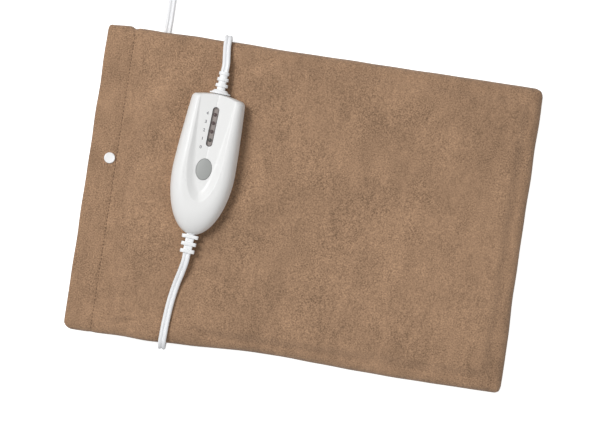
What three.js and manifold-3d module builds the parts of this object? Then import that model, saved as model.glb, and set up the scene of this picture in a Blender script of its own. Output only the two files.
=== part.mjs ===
// Heating pad with a hand controller: a fabric cover holding a heated inner pad, a two-shell
// controller with one push button, the lead between the two, and a mains lead with its plug.
// Millimetres, +Z up. The origin is the middle of the cover, on the surface that it lies on.
// +X runs along the cover's long side, away from the open end; +Y points to the mains side.

import * as THREE from 'three';
import { mergeVertices } from 'three/addons/utils/BufferGeometryUtils.js';
import Module from 'manifold-3d';

const wasm = await Module();
wasm.setup();

// Driving dimensions

const coverLength = 432;
const coverWidth = 302;
const coverCorner = 14;
const fabric = 1.8;
const seat = 0.3; // gap kept between faces that rest on each other
const overrun = 1; // how far a cutter passes the face that it opens

const cordWidth = 7.6;
const cordThickness = 4;
const underside = 4.6; // how high the pad's underside stands over the cords below it

const padThickness = 8.8; // inner pad, outside of both skins
const flapDepth = 28; // flat band at the cover's open end
const edgeRun = 22; // rounded border of the cover, measured inwards

const controllerLength = 139;
const controllerWidth = 61.2;
const controllerTilt = THREE.MathUtils.degToRad(-3.2);
const controllerX = -101.5;
const controllerY = 23;
const buttonTravel = 0.8;

// Materials

const finish = (color, roughness, metalness = 0) =>
  new THREE.MeshStandardMaterial({ color, roughness, metalness });
const plush = finish('#a07f66', 0.95);
const plushBack = finish('#9a7a62', 0.95);
const felt = finish('#d9d4c8', 0.95);
const vinyl = finish('#e6e2d6', 0.5);
const whitePlastic = finish('#f1f1ef', 0.35);
const snapPlastic = finish('#fbfbfb', 0.3);
const greyRubber = finish('#a9ada9', 0.55);
const smokedPlastic = finish('#4a4344', 0.2);
const redLens = finish('#8c3a38', 0.25);
const greenLens = finish('#3f7a52', 0.25);
const cordPlastic = finish('#f4f5f6', 0.4);
const boardGreen = finish('#2f6b45', 0.6);
const blackPlastic = finish('#1d1d1f', 0.5);
const filmYellow = finish('#d6b53a', 0.5);
const capBlue = finish('#2c4f8a', 0.4);
const ceramicWhite = finish('#e9e6dc', 0.6);
const steel = finish('#b9bbbd', 0.35, 0.9);
const brass = finish('#c9a75a', 0.35, 0.9);
const copper = finish('#c07a4a', 0.4, 0.9);

// Solids

function meshOf(points, faces) {
  const geometry = new THREE.BufferGeometry();
  geometry.setAttribute('position', new THREE.Float32BufferAttribute(points.flat(), 3));
  geometry.setIndex(faces.flat());
  return geometry;
}

function solidOf(geometry) {
  const bare = geometry.clone();
  bare.deleteAttribute('normal');
  bare.deleteAttribute('uv');
  const merged = mergeVertices(bare);
  return new wasm.Manifold(new wasm.Mesh({
    numProp: 3,
    vertProperties: Float32Array.from(merged.attributes.position.array),
    triVerts: Uint32Array.from(merged.index.array),
  }));
}

function geometryOf(solid) {
  const { vertProperties, triVerts } = solid.getMesh();
  const geometry = new THREE.BufferGeometry();
  geometry.setAttribute('position', new THREE.Float32BufferAttribute(vertProperties, 3));
  geometry.setIndex(Array.from(triVerts));
  return geometry;
}

function cut(body, ...cutters) {
  return geometryOf(cutters.reduce((left, cutter) => left.subtract(solidOf(cutter)), solidOf(body)));
}

function join(body, ...others) {
  return geometryOf(others.reduce((whole, other) => whole.add(solidOf(other)), solidOf(body)));
}

function volumeSign(points, faces) {
  let sum = 0;
  for (const [a, b, c] of faces) {
    const [p, q, r] = [points[a], points[b], points[c]].map((point) => new THREE.Vector3(...point));
    sum += p.dot(q.cross(r));
  }
  return Math.sign(sum);
}

// Closed skin over a row of rings with equal counts, with a fan on the first and the last ring
function ringSolid(rings) {
  const count = rings[0].length;
  const points = rings.flat();
  const faces = [];
  for (let ring = 0; ring + 1 < rings.length; ring += 1) {
    for (let side = 0; side < count; side += 1) {
      const next = (side + 1) % count;
      const [a, b] = [ring * count + side, ring * count + next];
      faces.push([a, b, b + count], [a, b + count, a + count]);
    }
  }
  const centreOf = (ring) => [0, 1, 2].map((axis) => ring.reduce((sum, p) => sum + p[axis], 0) / count);
  const first = points.push(centreOf(rings[0])) - 1;
  const last = points.push(centreOf(rings.at(-1))) - 1;
  const start = (rings.length - 1) * count;
  for (let side = 0; side < count; side += 1) {
    const next = (side + 1) % count;
    faces.push([first, next, side], [last, start + side, start + next]);
  }
  const outward = volumeSign(points, faces) > 0 ? faces : faces.map(([a, b, c]) => [a, c, b]);
  return meshOf(points, outward);
}

function block(length, width, height, [x, y, low] = [0, 0, 0]) {
  return new THREE.BoxGeometry(length, width, height).translate(x, y, low + height / 2);
}

function disc(radius, height, [x, y, low] = [0, 0, 0], sides = 24) {
  return new THREE.CylinderGeometry(radius, radius, height, sides)
    .rotateX(Math.PI / 2)
    .translate(x, y, low + height / 2);
}

// Round bar along Y
function rod(radius, length, [x, start, z], sides = 12) {
  return new THREE.CylinderGeometry(radius, radius, length, sides).translate(x, start + length / 2, z);
}

// Body turned about Z from pairs of radius and height
function turned(profile, sides = 16) {
  const outline = profile.map(([radius, height]) => new THREE.Vector2(radius, height));
  return new THREE.LatheGeometry(outline, sides).rotateX(Math.PI / 2);
}

function roundedPlan(length, width, radius) {
  const [right, top] = [length / 2, width / 2];
  const plan = new THREE.Shape();
  plan.absarc(right - radius, top - radius, radius, 0, Math.PI / 2);
  plan.absarc(radius - right, top - radius, radius, Math.PI / 2, Math.PI);
  plan.absarc(radius - right, radius - top, radius, Math.PI, 3 * Math.PI / 2);
  plan.absarc(right - radius, radius - top, radius, 3 * Math.PI / 2, 2 * Math.PI);
  return plan;
}

function slab(plan, height, [x, y, low] = [0, 0, 0], curveSegments = 5) {
  return new THREE.ExtrudeGeometry(plan, { depth: height, bevelEnabled: false, curveSegments })
    .translate(x, y, low);
}

function ovalPlan(length, width) {
  const plan = new THREE.Shape();
  plan.absellipse(0, 0, length / 2, width / 2, 0, 2 * Math.PI);
  return plan;
}

// Cover panels: the height of the pad above the floor at any place

const clampUnit = (value) => Math.min(Math.max(value, 0), 1);
const easeUnit = (value) => clampUnit(value) ** 2 * (3 - 2 * clampUnit(value));

const restBand = 10; // border of the underside that lies on the floor
const riseRun = 14; // run in which the underside rises from that border
const flapRoom = 6.2; // height between the panels in the flap
const panelRoom = padThickness + 2 * seat;

// The cover's border is lifted where a cord passes under it or hooks round it
const hookLift = 7;
const hookFlat = 16;
const hookFall = 34;
const hookReach = 60; // how far inside the border the lift has faded
const passLift = 4.8;
const passFlat = 11;
const passFall = 16;
const passDepth = 20; // how far inside the border the full lift is kept
const mainsHookX = -97.6;
const mainsPassX = -158;
const padHookX = -117.4;
const crossings = [
  { x: mainsHookX, side: 1, lift: hookLift, flat: hookFlat, fall: hookFall, depth: 0 },
  { x: mainsPassX, side: 1, lift: passLift, flat: passFlat, fall: passFall, depth: passDepth },
  { x: padHookX, side: -1, lift: hookLift, flat: hookFlat, fall: hookFall, depth: 0 },
];

function crossingLift(x, y) {
  return Math.max(...crossings.map((crossing) => {
    const along = 1 - easeUnit((Math.abs(x - crossing.x) - crossing.flat) / crossing.fall);
    const fromBorder = coverWidth / 2 - crossing.side * y;
    const inward = 1 - easeUnit((fromBorder - crossing.depth) / (hookReach - crossing.depth));
    return crossing.lift * along * inward;
  }));
}

function backLow(x, y) {
  const fromFlap = x + coverLength / 2 - flapDepth;
  const fromEdge = Math.min(coverLength / 2 - x, fromFlap, coverWidth / 2 - Math.abs(y));
  return Math.max(underside * easeUnit((fromEdge - restBand) / riseRun), crossingLift(x, y));
}

function roomAt(x, y) {
  const fromSeam = Math.min(coverLength / 2 - x, coverWidth / 2 - Math.abs(y));
  const border = Math.sqrt(1 - (1 - clampUnit(fromSeam / edgeRun)) ** 2);
  const flap = easeUnit((x + coverLength / 2 - flapDepth) / edgeRun);
  return seat + border * (flapRoom + (panelRoom - flapRoom) * flap);
}

const frontLow = (x, y) => backLow(x, y) + fabric + roomAt(x, y);
const padTop = underside + fabric + seat + panelRoom + fabric;

const coverColumns = 25;
const coverRows = 18;
const evenShare = 0.45; // how much of the spacing is even; the rest crowds towards the border

// Place of a grid point in the cover's plan: spacing crowds at the border, corners are round
function coverPlace(column, row) {
  const spread = (step, count, size) => {
    const even = 2 * step / (count - 1) - 1;
    return size / 2 * (evenShare * even + (1 - evenShare) * Math.sin(Math.PI / 2 * even));
  };
  const x = spread(column, coverColumns, coverLength);
  const y = spread(row, coverRows, coverWidth);
  const p = Math.max((Math.abs(x) - coverLength / 2 + coverCorner) / coverCorner, 0);
  const q = Math.max((Math.abs(y) - coverWidth / 2 + coverCorner) / coverCorner, 0);
  const pull = (share, other) => coverCorner * share * (Math.sqrt(1 - other ** 2 / 2) - 1);
  return [x + Math.sign(x) * pull(p, q), y + Math.sign(y) * pull(q, p)];
}

// Sheet of fabric over the plan, its lower face at low(x, y)
function coverSheet(low) {
  const [points, faces] = [[], []];
  for (let layer = 0; layer < 2; layer += 1) {
    for (let row = 0; row < coverRows; row += 1) {
      for (let column = 0; column < coverColumns; column += 1) {
        const [x, y] = coverPlace(column, row);
        points.push([x, y, low(x, y) + layer * fabric]);
      }
    }
  }
  const upper = coverRows * coverColumns;
  const at = (column, row) => row * coverColumns + column;
  for (let row = 0; row + 1 < coverRows; row += 1) {
    for (let column = 0; column + 1 < coverColumns; column += 1) {
      const [a, b] = [at(column, row), at(column + 1, row)];
      const [c, d] = [at(column + 1, row + 1), at(column, row + 1)];
      faces.push([a, c, b], [a, d, c], [upper + a, upper + b, upper + c], [upper + a, upper + c, upper + d]);
    }
  }
  const rim = [];
  for (let column = 0; column + 1 < coverColumns; column += 1) rim.push(at(column, 0));
  for (let row = 0; row + 1 < coverRows; row += 1) rim.push(at(coverColumns - 1, row));
  for (let column = coverColumns - 1; column > 0; column -= 1) rim.push(at(column, coverRows - 1));
  for (let row = coverRows - 1; row > 0; row -= 1) rim.push(at(0, row));
  rim.forEach((a, step) => {
    const b = rim[(step + 1) % rim.length];
    faces.push([a, b, upper + b], [a, upper + b, upper + a]);
  });
  return meshOf(points, faces);
}

const pad = new THREE.Group();

function add(group, name, geometry, material) {
  const mesh = new THREE.Mesh(geometry, material);
  mesh.name = name;
  group.add(mesh);
}

// Snap fastener in the middle of the open end, and the hems that it holds

const snapInset = 20.5; // from the open end
const snapX = -coverLength / 2 + snapInset;
const snapY = 20.7;
const snapRadius = 5.4;
const snapCapHeight = 1.6;
const snapPostRadius = 1.6;
const snapBaseRadius = 4.6;
const snapBaseHeight = 0.8;
const snapStudRadius = 1.9;
const snapStudHeight = 1.4;
const hem = 1.2;
const hemInset = 3; // how far the hems stay inside the edge of the open end
const hemSideInset = 26; // how far they stay inside the side seams

const hemDepth = flapDepth - 2 * hemInset;
const hemLength = coverWidth - 2 * hemSideInset;
const backHemLow = fabric + seat;
const studLow = backHemLow + hem + seat;
const frontPanelLow = fabric + seat + flapRoom;
const frontHemLow = frontPanelLow - seat - hem;
const capLow = frontPanelLow + fabric + seat;
const backFlangeLow = seat;
const fabricPress = fabric / 2; // the pile is pressed to half its height under the back flange

function hemStrip(low) {
  const strip = slab(roundedPlan(hemDepth, hemLength, hemInset), hem, [
    -coverLength / 2 + hemInset + hemDepth / 2, 0, low], 3);
  return cut(strip, disc(snapPostRadius + seat, hem + 2 * overrun, [snapX, snapY, low - overrun]));
}

const snapHole = (low, height) => disc(snapPostRadius + seat, height, [snapX, snapY, low]);

function snapCap() {
  const stemLow = frontHemLow - seat / 2 - capLow;
  return turned([
    [0, stemLow], [snapPostRadius, stemLow], [snapPostRadius, 0], [snapRadius, 0],
    [snapRadius, snapCapHeight / 2], [snapRadius - snapCapHeight / 2, snapCapHeight],
    [0, snapCapHeight],
  ]).translate(snapX, snapY, capLow);
}

// Ring that grips the stud, closed at the top by its own floor
function snapSocket() {
  const high = frontHemLow - seat;
  const low = studLow + snapBaseHeight + seat;
  const hollow = snapStudRadius + seat;
  const roof = studLow + snapBaseHeight + snapStudHeight + seat;
  return turned([
    [0, roof - low], [hollow, roof - low], [hollow, 0], [snapBaseRadius, 0],
    [snapBaseRadius, high - low], [0, high - low],
  ]).translate(snapX, snapY, low);
}

function snapStud() {
  return turned([
    [0, 0], [snapBaseRadius, 0], [snapBaseRadius, snapBaseHeight], [snapStudRadius, snapBaseHeight],
    [snapStudRadius, snapBaseHeight + snapStudHeight], [0, snapBaseHeight + snapStudHeight],
  ]).translate(snapX, snapY, studLow);
}

function snapPost() {
  const flange = fabricPress - 2 * seat;
  const high = studLow - seat - backFlangeLow;
  return turned([
    [0, 0], [snapBaseRadius, 0], [snapBaseRadius, flange], [snapPostRadius, flange],
    [snapPostRadius, high], [0, high],
  ]).translate(snapX, snapY, backFlangeLow);
}

// Inner pad: two sealed skins round two felts and the heating wire

const padFlapGap = 34; // from the flap to the inner pad
const padSideGap = 28; // from the other seams
const padCorner = 18;
const skin = 0.8;
const feltThickness = 1.6;
const feltInset = 6;
const wireRoom = padThickness - 2 * skin - 2 * feltThickness - 4 * seat;
const wireRadius = 1.2;
const wireRuns = 8;
const wireInset = 20;

const padStart = -coverLength / 2 + flapDepth + padFlapGap;
const padEnd = coverLength / 2 - padSideGap;
const padWidth = coverWidth - 2 * padSideGap;
const padMiddle = (padStart + padEnd) / 2;
const wirePitch = (padWidth - 2 * wireInset) / wireRuns;
const padLength = padEnd - padStart;
const lowerSkinLow = underside + fabric + seat;
const lowerFeltLow = lowerSkinLow + skin + seat;
const wireLow = lowerFeltLow + feltThickness + seat;
const upperFeltLow = wireLow + wireRoom + seat;
const upperSkinLow = upperFeltLow + feltThickness + seat;

// Outlet of the pad's lead: a flat moulding under the cover, its neck up through to the junction
const outletX = 36;
const outletSpace = 3; // the space between wire runs that it sits in, counted from the middle
const outletLength = 32;
const outletWidth = 15;
const outletHeight = 4;
const outletCorner = 4;
const neckLength = 12;
const neckWidth = 9;
const junctionLength = 26;
const junctionWidth = 14;

const neckX = outletX - outletLength / 2 + neckLength;
const outletY = outletSpace * wirePitch;
const neckHole = (low, height) =>
  block(neckLength + 2 * seat, neckWidth + 2 * seat, height, [neckX, outletY, low]);

function lowerSkin() {
  const tall = upperSkinLow - seat - lowerSkinLow;
  const outside = roundedPlan(padLength, padWidth, padCorner);
  const inside = roundedPlan(padLength - 2 * skin, padWidth - 2 * skin, padCorner - skin);
  return cut(
    slab(outside, tall, [padMiddle, 0, lowerSkinLow]),
    slab(inside, tall, [padMiddle, 0, lowerSkinLow + skin]),
    neckHole(lowerSkinLow - overrun, skin + 2 * overrun),
  );
}

const feltSheet = (low) => slab(
  roundedPlan(padLength - 2 * feltInset, padWidth - 2 * feltInset, padCorner - feltInset),
  feltThickness,
  [padMiddle, 0, low],
);

// Tube through a list of points, its section kept level: width across, thickness up
function sweep(points, width, thickness, sides) {
  const angles = Array.from({ length: sides }, (_, side) => 2 * Math.PI * (side + 0.5) / sides);
  const widest = Math.max(...angles.map(Math.cos));
  const tallest = Math.max(...angles.map(Math.sin));
  let across = new THREE.Vector3();
  const rings = points.map((middle, step) => {
    const before = points[Math.max(step - 1, 0)];
    const after = points[Math.min(step + 1, points.length - 1)];
    const along = after.clone().sub(before).normalize();
    const level = new THREE.Vector3(along.y, -along.x, 0);
    if (step === 0) across = level.clone().normalize();
    const turn = level.dot(across) < 0 ? -1 : 1;
    const steepShare = 0.25;
    if (level.length() > steepShare) across = level.multiplyScalar(turn).normalize();
    across = across.addScaledVector(along, -across.dot(along)).normalize();
    const up = new THREE.Vector3().crossVectors(across, along);
    return angles.map((angle) => middle.clone()
      .addScaledVector(across, width / 2 * Math.cos(angle) / widest)
      .addScaledVector(up, thickness / 2 * Math.sin(angle) / tallest)
      .toArray());
  });
  return ringSolid(rings);
}

// Heating wire: even runs along X joined by half-round turns
function heatingWire() {
  const turnSteps = 5;
  const radius = wirePitch / 2;
  const [left, right] = [padStart + wireInset + radius, padEnd - wireInset - radius];
  const height = wireLow + wireRoom / 2;
  const points = [];
  for (let run = 0; run < wireRuns; run += 1) {
    const y = (wireRuns - 1 - 2 * run) * radius;
    const forward = run % 2 === 0;
    const [start, end] = forward ? [left, right] : [right, left];
    points.push(new THREE.Vector3(start, y, height), new THREE.Vector3(end, y, height));
    if (run + 1 === wireRuns) break;
    for (let step = 1; step < turnSteps; step += 1) {
      const angle = Math.PI * step / turnSteps;
      const bulge = radius * Math.sin(angle) * (forward ? 1 : -1);
      points.push(new THREE.Vector3(end + bulge, y - radius + radius * Math.cos(angle), height));
    }
  }
  return sweep(points, 2 * wireRadius, 2 * wireRadius, 6);
}

const thermostatLength = 20;
const thermostatWidth = 8;
const thermostatCorner = 2;
const thermostatShares = [-0.25, 0.25]; // of the inner pad's length, from its middle

function thermostat(share) {
  const plan = roundedPlan(thermostatLength, thermostatWidth, thermostatCorner);
  const y = -wirePitch / 2 + wireRadius + seat + thermostatWidth / 2;
  return slab(plan, wireRoom, [padMiddle + share * padLength, y, wireLow], 3);
}

function junctionBlock() {
  return slab(roundedPlan(junctionLength, junctionWidth, thermostatCorner), wireRoom, [
    neckX, outletY, wireLow], 3);
}

function padOutlet() {
  const foot = slab(roundedPlan(outletLength, outletWidth, outletCorner), outletHeight, [
    outletX, outletY, seat]);
  const neckHeight = wireLow - seat - seat;
  return join(foot, block(neckLength, neckWidth, neckHeight, [neckX, outletY, seat]));
}

const snapPress = disc(snapBaseRadius + seat, fabricPress + overrun, [snapX, snapY, -overrun]);

add(pad, 'cover_front', cut(coverSheet(frontLow), snapHole(0, padTop)), plush);
add(pad, 'cover_back', cut(
  coverSheet(backLow),
  snapHole(-overrun, fabric + 2 * overrun),
  snapPress,
  neckHole(0, lowerSkinLow),
), plushBack);
add(pad, 'front_hem', hemStrip(frontHemLow), plush);
add(pad, 'back_hem', hemStrip(backHemLow), plushBack);
add(pad, 'snap_cap', snapCap(), snapPlastic);
add(pad, 'snap_socket', snapSocket(), snapPlastic);
add(pad, 'snap_stud', snapStud(), snapPlastic);
add(pad, 'snap_post', snapPost(), snapPlastic);
add(pad, 'inner_pad_lower_skin', lowerSkin(), vinyl);
add(pad, 'inner_pad_upper_skin', slab(roundedPlan(padLength, padWidth, padCorner), skin, [
  padMiddle, 0, upperSkinLow]), vinyl);
add(pad, 'lower_felt', cut(
  feltSheet(lowerFeltLow),
  neckHole(lowerFeltLow - overrun, feltThickness + 2 * overrun),
), felt);
add(pad, 'upper_felt', feltSheet(upperFeltLow), felt);
add(pad, 'heating_wire', heatingWire(), redLens);
thermostatShares.forEach((share, index) => {
  add(pad, `thermostat_${index + 1}`, thermostat(share), ceramicWhite);
});
add(pad, 'junction_block', junctionBlock(), ceramicWhite);
add(pad, 'pad_lead_outlet', padOutlet(), cordPlastic);

// Controller, in its own frame: +Y to the mains end, +X across, z = 0 where its two shells meet

const topHeight = 15.6;
const bottomHeight = 9;
const wall = 2.2;
const roof = 2.2; // under the recessed panel
const recessDepth = 4;
const mainsEnd = 74.6; // from the button's middle to the blunt end
const widestShare = 0.97; // where the sides are widest, as a share of the way back to the tip
const bluntWidth = 52.8;
const bluntSag = 4.2; // how far the blunt end bows outwards
const bluntCorner = 5;
const sideBow = 1.35; // how the sides draw in towards the blunt end

// How far each stretch of the outline is drawn in from the parting line to the level top
const topRuns = { side: 12, blunt: 7.5, end: 2.5, tip: 26 };
const bottomRuns = { side: 9, blunt: 7, end: 2.5, tip: 16 };

const tipEnd = controllerLength - mainsEnd;
const widestY = -tipEnd * (1 - widestShare);
const innerTop = topHeight - recessDepth - roof;
const innerBottom = bottomHeight - wall;

// Outline of the shells, drawn in by a wall and by a share of the runs given for each stretch
function outline(inset, runs, share) {
  const bowSteps = 2;
  const cornerSteps = 3;
  const sideSteps = 6;
  const tipSteps = 8;
  const halfWide = controllerWidth / 2 - inset - runs.side * share;
  const halfBlunt = bluntWidth / 2 - inset - runs.blunt * share;
  const end = mainsEnd - inset - runs.end * share;
  const reach = tipEnd + widestY - inset - runs.tip * share;
  const bowEnd = halfBlunt - bluntCorner;
  const cornerTop = end - bluntSag * (bowEnd / halfBlunt) ** 2;
  const sideTop = cornerTop - bluntCorner;
  const half = [];
  for (let step = 0; step < bowSteps; step += 1) {
    const x = bowEnd * step / bowSteps;
    half.push([x, end - bluntSag * (x / halfBlunt) ** 2]);
  }
  for (let step = 0; step < cornerSteps; step += 1) {
    const angle = Math.PI / 2 * step / cornerSteps;
    half.push([bowEnd + bluntCorner * Math.sin(angle), cornerTop - bluntCorner * (1 - Math.cos(angle))]);
  }
  for (let step = 0; step < sideSteps; step += 1) {
    const along = 1 - step / sideSteps;
    half.push([halfWide - (halfWide - halfBlunt) * along ** sideBow, widestY + (sideTop - widestY) * along]);
  }
  for (let step = 0; step < tipSteps; step += 1) {
    const angle = Math.PI / 2 * step / tipSteps;
    half.push([halfWide * Math.cos(angle), widestY - reach * Math.sin(angle)]);
  }
  const [start, ...side] = half;
  return [start, ...side, [0, widestY - reach], ...side.map(([x, y]) => [-x, y]).reverse()];
}

// Closed shell form: the outline at z = 0, rounded over its runs up to a level top
function domeSolid(inset, height, runs, steps = 4) {
  const rings = [];
  for (let step = 0; step <= steps; step += 1) {
    const angle = Math.PI / 2 * step / steps;
    const ring = outline(inset, runs, 1 - Math.cos(angle));
    rings.push(ring.map(([x, y]) => [x, y, height * Math.sin(angle)]));
  }
  return ringSolid(rings);
}

// Recessed panel: open at the blunt end, round at the other
const recessWidth = 37.5;
const recessInset = 31.5; // from the tip to where it starts
const recessStraight = 12; // where its sides begin to draw in
const recessTip = -tipEnd + recessInset;

function recessPlan() {
  const plan = new THREE.Shape();
  const half = recessWidth / 2;
  plan.moveTo(half, mainsEnd + overrun);
  plan.lineTo(-half, mainsEnd + overrun);
  plan.lineTo(-half, recessStraight);
  plan.absellipse(0, recessStraight, half, recessStraight - recessTip, Math.PI, 2 * Math.PI);
  plan.lineTo(half, mainsEnd + overrun);
  return plan;
}

const panelHigh = topHeight - recessDepth;

// Window over the lights, and the button
const windowLow = 22.5;
const windowHigh = 61.3;
const windowWidth = 6.2;
const windowFlange = 1.4;
const windowDepth = 1.2;
const buttonLength = 20.7;
const buttonWidth = 15;
const buttonRise = 1.1;
const buttonFlange = 1.5;
const buttonFlangeHeight = 1.2;
const buttonStem = 2.2;
const windowMiddle = (windowLow + windowHigh) / 2;
const windowLength = windowHigh - windowLow;

const slotPlan = (grow) =>
  roundedPlan(windowWidth + 2 * grow, windowLength + 2 * grow, windowWidth / 2 + grow);

// Circuit board and what stands on it
const boardThickness = 1.6;
const boardWidth = 27;
const boardTipGap = 24.5;
const boardEndGap = 18.6;
const boardStart = -tipEnd + boardTipGap;
const boardEnd = mainsEnd - boardEndGap;
const boardCorner = 2;
const boardLow = -boardThickness;
const onBoard = seat;

const bluntScrews = { across: 18, inset: 26.6 };
const tipScrews = { across: 17.5, inset: 32.5 };
const screwPosts = [
  [bluntScrews.across, mainsEnd - bluntScrews.inset],
  [tipScrews.across, -tipEnd + tipScrews.inset],
].flatMap(([across, along]) => [[across, along], [-across, along]]);
const postRadius = 3.4;
const screwRadius = 1.3;
const screwHeadRadius = 2.6;
const screwHeadHeight = 1.6;
const screwLength = 12;
const screwSink = 3; // depth of the pocket that its head lies in
const ribWidth = 2;
const ribLength = 22;
const ribShares = [0.14, 0.86]; // of the board's length

// Strain reliefs: each grips its end wall between a flange inside and a collar outside
const reliefNeck = 4.6;
const reliefFlange = 6;
const reliefFlangeDepth = 1.6;
const endSeat = 3.4; // from the blunt end in to the flange that holds its relief
const tipSeat = 11; // the same at the tip
const mainsRelief = 21.8;
const padRelief = 18.1;
const coneRadius = 10.3;
const coneFlatShare = 0.72; // height of the cone as a share of its width
const coneTop = 6.7;
const coneLip = 1.4; // straight foot below the cone
const coneDepth = 4.2;
const ribRadii = [6.1, 5.6, 5];
const reliefRib = 3.2;
const reliefCore = 3.9;
const padRibWidths = [16.2, 14.8, 14.2];
const padRibHeight = 7.4;
const padRib = 3.7;
const padCoreWidth = 8.4;
const padCoreHeight = 4.8;

const neckCutter = (radius, start, end) => rod(radius, end - start, [0, start, 0], 20);
const mainsNeckHole = neckCutter(reliefNeck + seat, mainsEnd - 3 * wall, mainsEnd + overrun);
const padNeckHole = neckCutter(reliefNeck + seat, -tipEnd - overrun, -tipEnd + tipSeat);

function housingTop() {
  const pilotDeep = screwLength - bottomHeight + screwSink + screwHeadHeight;
  const posts = screwPosts.map(([x, y]) => disc(postRadius, innerTop + roof / 2, [x, y, seat], 16));
  const pilots = screwPosts.map(([x, y]) =>
    disc(screwRadius + seat, pilotDeep + overrun, [x, y, -overrun], 12));
  const hollow = cut(domeSolid(0, topHeight, topRuns), domeSolid(wall, innerTop, topRuns, 3));
  return cut(
    join(hollow, ...posts),
    slab(recessPlan(), recessDepth + overrun, [0, 0, panelHigh], 12),
    slab(slotPlan(seat), roof + 2 * overrun, [0, windowMiddle, innerTop - overrun]),
    slab(ovalPlan(buttonWidth + 2 * seat, buttonLength + 2 * seat), roof + 2 * overrun, [
      0, 0, innerTop - overrun], 12),
    mainsNeckHole,
    padNeckHole,
    ...pilots,
  );
}

function housingBottom() {
  const body = cut(
    domeSolid(0, -bottomHeight - overrun, bottomRuns),
    block(controllerWidth, 2 * controllerLength, 2 * overrun, [0, 0, -bottomHeight - 2 * overrun]),
    domeSolid(wall, -innerBottom, bottomRuns, 3),
  );
  const posts = screwPosts.map(([x, y]) => disc(postRadius, bottomHeight, [x, y, -bottomHeight], 16));
  const ribs = ribShares.map((share) => block(ribLength, ribWidth, innerBottom + boardLow - seat + wall / 2, [
    0, boardStart + share * (boardEnd - boardStart), -innerBottom - wall / 2]));
  const shafts = screwPosts.map(([x, y]) =>
    disc(screwRadius + seat, bottomHeight + 2 * overrun, [x, y, -bottomHeight - overrun], 12));
  const pockets = screwPosts.map(([x, y]) =>
    disc(screwHeadRadius + seat, screwSink + overrun, [x, y, -bottomHeight - overrun], 16));
  return cut(join(body, ...posts, ...ribs), mainsNeckHole, padNeckHole, ...shafts, ...pockets);
}

// Button: a low oval cap held by its flange under the panel, with a stem down to the switch
function selectButton() {
  const flangeLow = innerTop - seat - buttonFlangeHeight;
  const crownSteps = 3;
  const neckSteps = 24;
  const ovalRing = (grow, z) => Array.from({ length: neckSteps }, (_, side) => {
    const angle = 2 * Math.PI * side / neckSteps;
    return [(buttonWidth / 2 + grow) * Math.cos(angle), (buttonLength / 2 + grow) * Math.sin(angle), z];
  });
  const rings = [
    ovalRing(buttonFlange, flangeLow),
    ovalRing(buttonFlange, flangeLow + buttonFlangeHeight),
    ovalRing(0, flangeLow + buttonFlangeHeight),
    ovalRing(0, panelHigh),
  ];
  for (let step = 1; step <= crownSteps; step += 1) {
    const angle = Math.PI / 2 * step / crownSteps;
    rings.push(ovalRing(-buttonRise * 2 * (1 - Math.cos(angle)), panelHigh + buttonRise * Math.sin(angle)));
  }
  const stemLow = switchHigh + seat;
  const stemHeight = flangeLow - stemLow + buttonFlangeHeight / 2;
  return join(ringSolid(rings), disc(buttonStem, stemHeight, [0, 0, stemLow], 16));
}

function lightWindow() {
  const flange = slab(slotPlan(windowFlange), windowDepth, [0, windowMiddle, innerTop - seat - windowDepth]);
  return join(flange, slab(slotPlan(0), roof + seat + windowDepth / 2, [
    0, windowMiddle, innerTop - seat - windowDepth / 2]));
}

// Lights: domed diodes in a row under the window
const lightCount = 4;
const lightPitch = 8.35;
const lightLow = 28.9;
const lightRadius = 1.5;
const lightRim = 1.8;
const lightRimHeight = 0.8;
const lightHigh = innerTop - 2 * seat - windowDepth;

function indicatorLight(index) {
  const height = lightHigh - onBoard;
  const bend = lightRadius * Math.SQRT1_2;
  return turned([
    [0, 0], [lightRim, 0], [lightRim, lightRimHeight], [lightRadius, lightRimHeight],
    [lightRadius, height - lightRadius], [bend, height - lightRadius + bend], [0, height],
  ], 12).translate(0, lightLow + index * lightPitch, onBoard);
}

// Switch under the button
const switchSize = 7;
const switchHeight = 4;
const plungerRadius = 1.75;
const plungerRise = 1.4;
const plungerDeep = 1.4;
const switchHigh = onBoard + switchHeight + plungerRise;

function switchBody() {
  return cut(
    block(switchSize, switchSize, switchHeight, [0, 0, onBoard]),
    disc(plungerRadius + seat, plungerDeep + seat + buttonTravel + overrun, [
      0, 0, onBoard + switchHeight - plungerDeep - seat - buttonTravel], 16),
  );
}

const switchPlunger = () => disc(plungerRadius, plungerDeep + plungerRise, [
  0, 0, onBoard + switchHeight - plungerDeep], 16);

// Parts on the board: each is a length along Y, a width, a height and a place
const dropperInset = 23;
const triacInset = 10;
const dropper = { length: 15, width: 8, height: 6.6, x: -8.6, y: boardStart + dropperInset };
const microcontroller = { length: 8.6, width: 5.2, height: 1.7, x: 8.4, y: 36 };
const triac = { length: 10, width: 7.6, height: 3, x: 8, y: boardStart + triacInset };
const smoothing = { radius: 2.8, length: 8, x: 9.4, y: 12 };
const fuse = { radius: 2.4, capRadius: 2.7, capLength: 4, length: 16, x: -8.8, y: 40 };
const resistor = { radius: 2.1, length: 12, x: -9.2, y: 20 };

const boardBlock = ({ width, length, height, x, y }) => block(width, length, height, [x, y, onBoard]);

// Round part lying along Y on the board
function lyingRound(profile, { x, y, length }, radius) {
  return turned(profile, 16).rotateX(-Math.PI / 2).translate(x, y - length / 2, onBoard + radius);
}

const drum = ({ radius, length, x, y }) => {
  const edge = radius / 4;
  return lyingRound([
    [0, 0], [radius - edge, 0], [radius, edge], [radius, length - edge], [radius - edge, length], [0, length],
  ], { x, y, length }, radius);
};

const fuseTube = () => lyingRound([
  [0, 0], [fuse.capRadius, 0], [fuse.capRadius, fuse.capLength], [fuse.radius, fuse.capLength],
  [fuse.radius, fuse.length - fuse.capLength], [fuse.capRadius, fuse.length - fuse.capLength],
  [fuse.capRadius, fuse.length], [0, fuse.length],
], fuse, fuse.capRadius);

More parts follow.
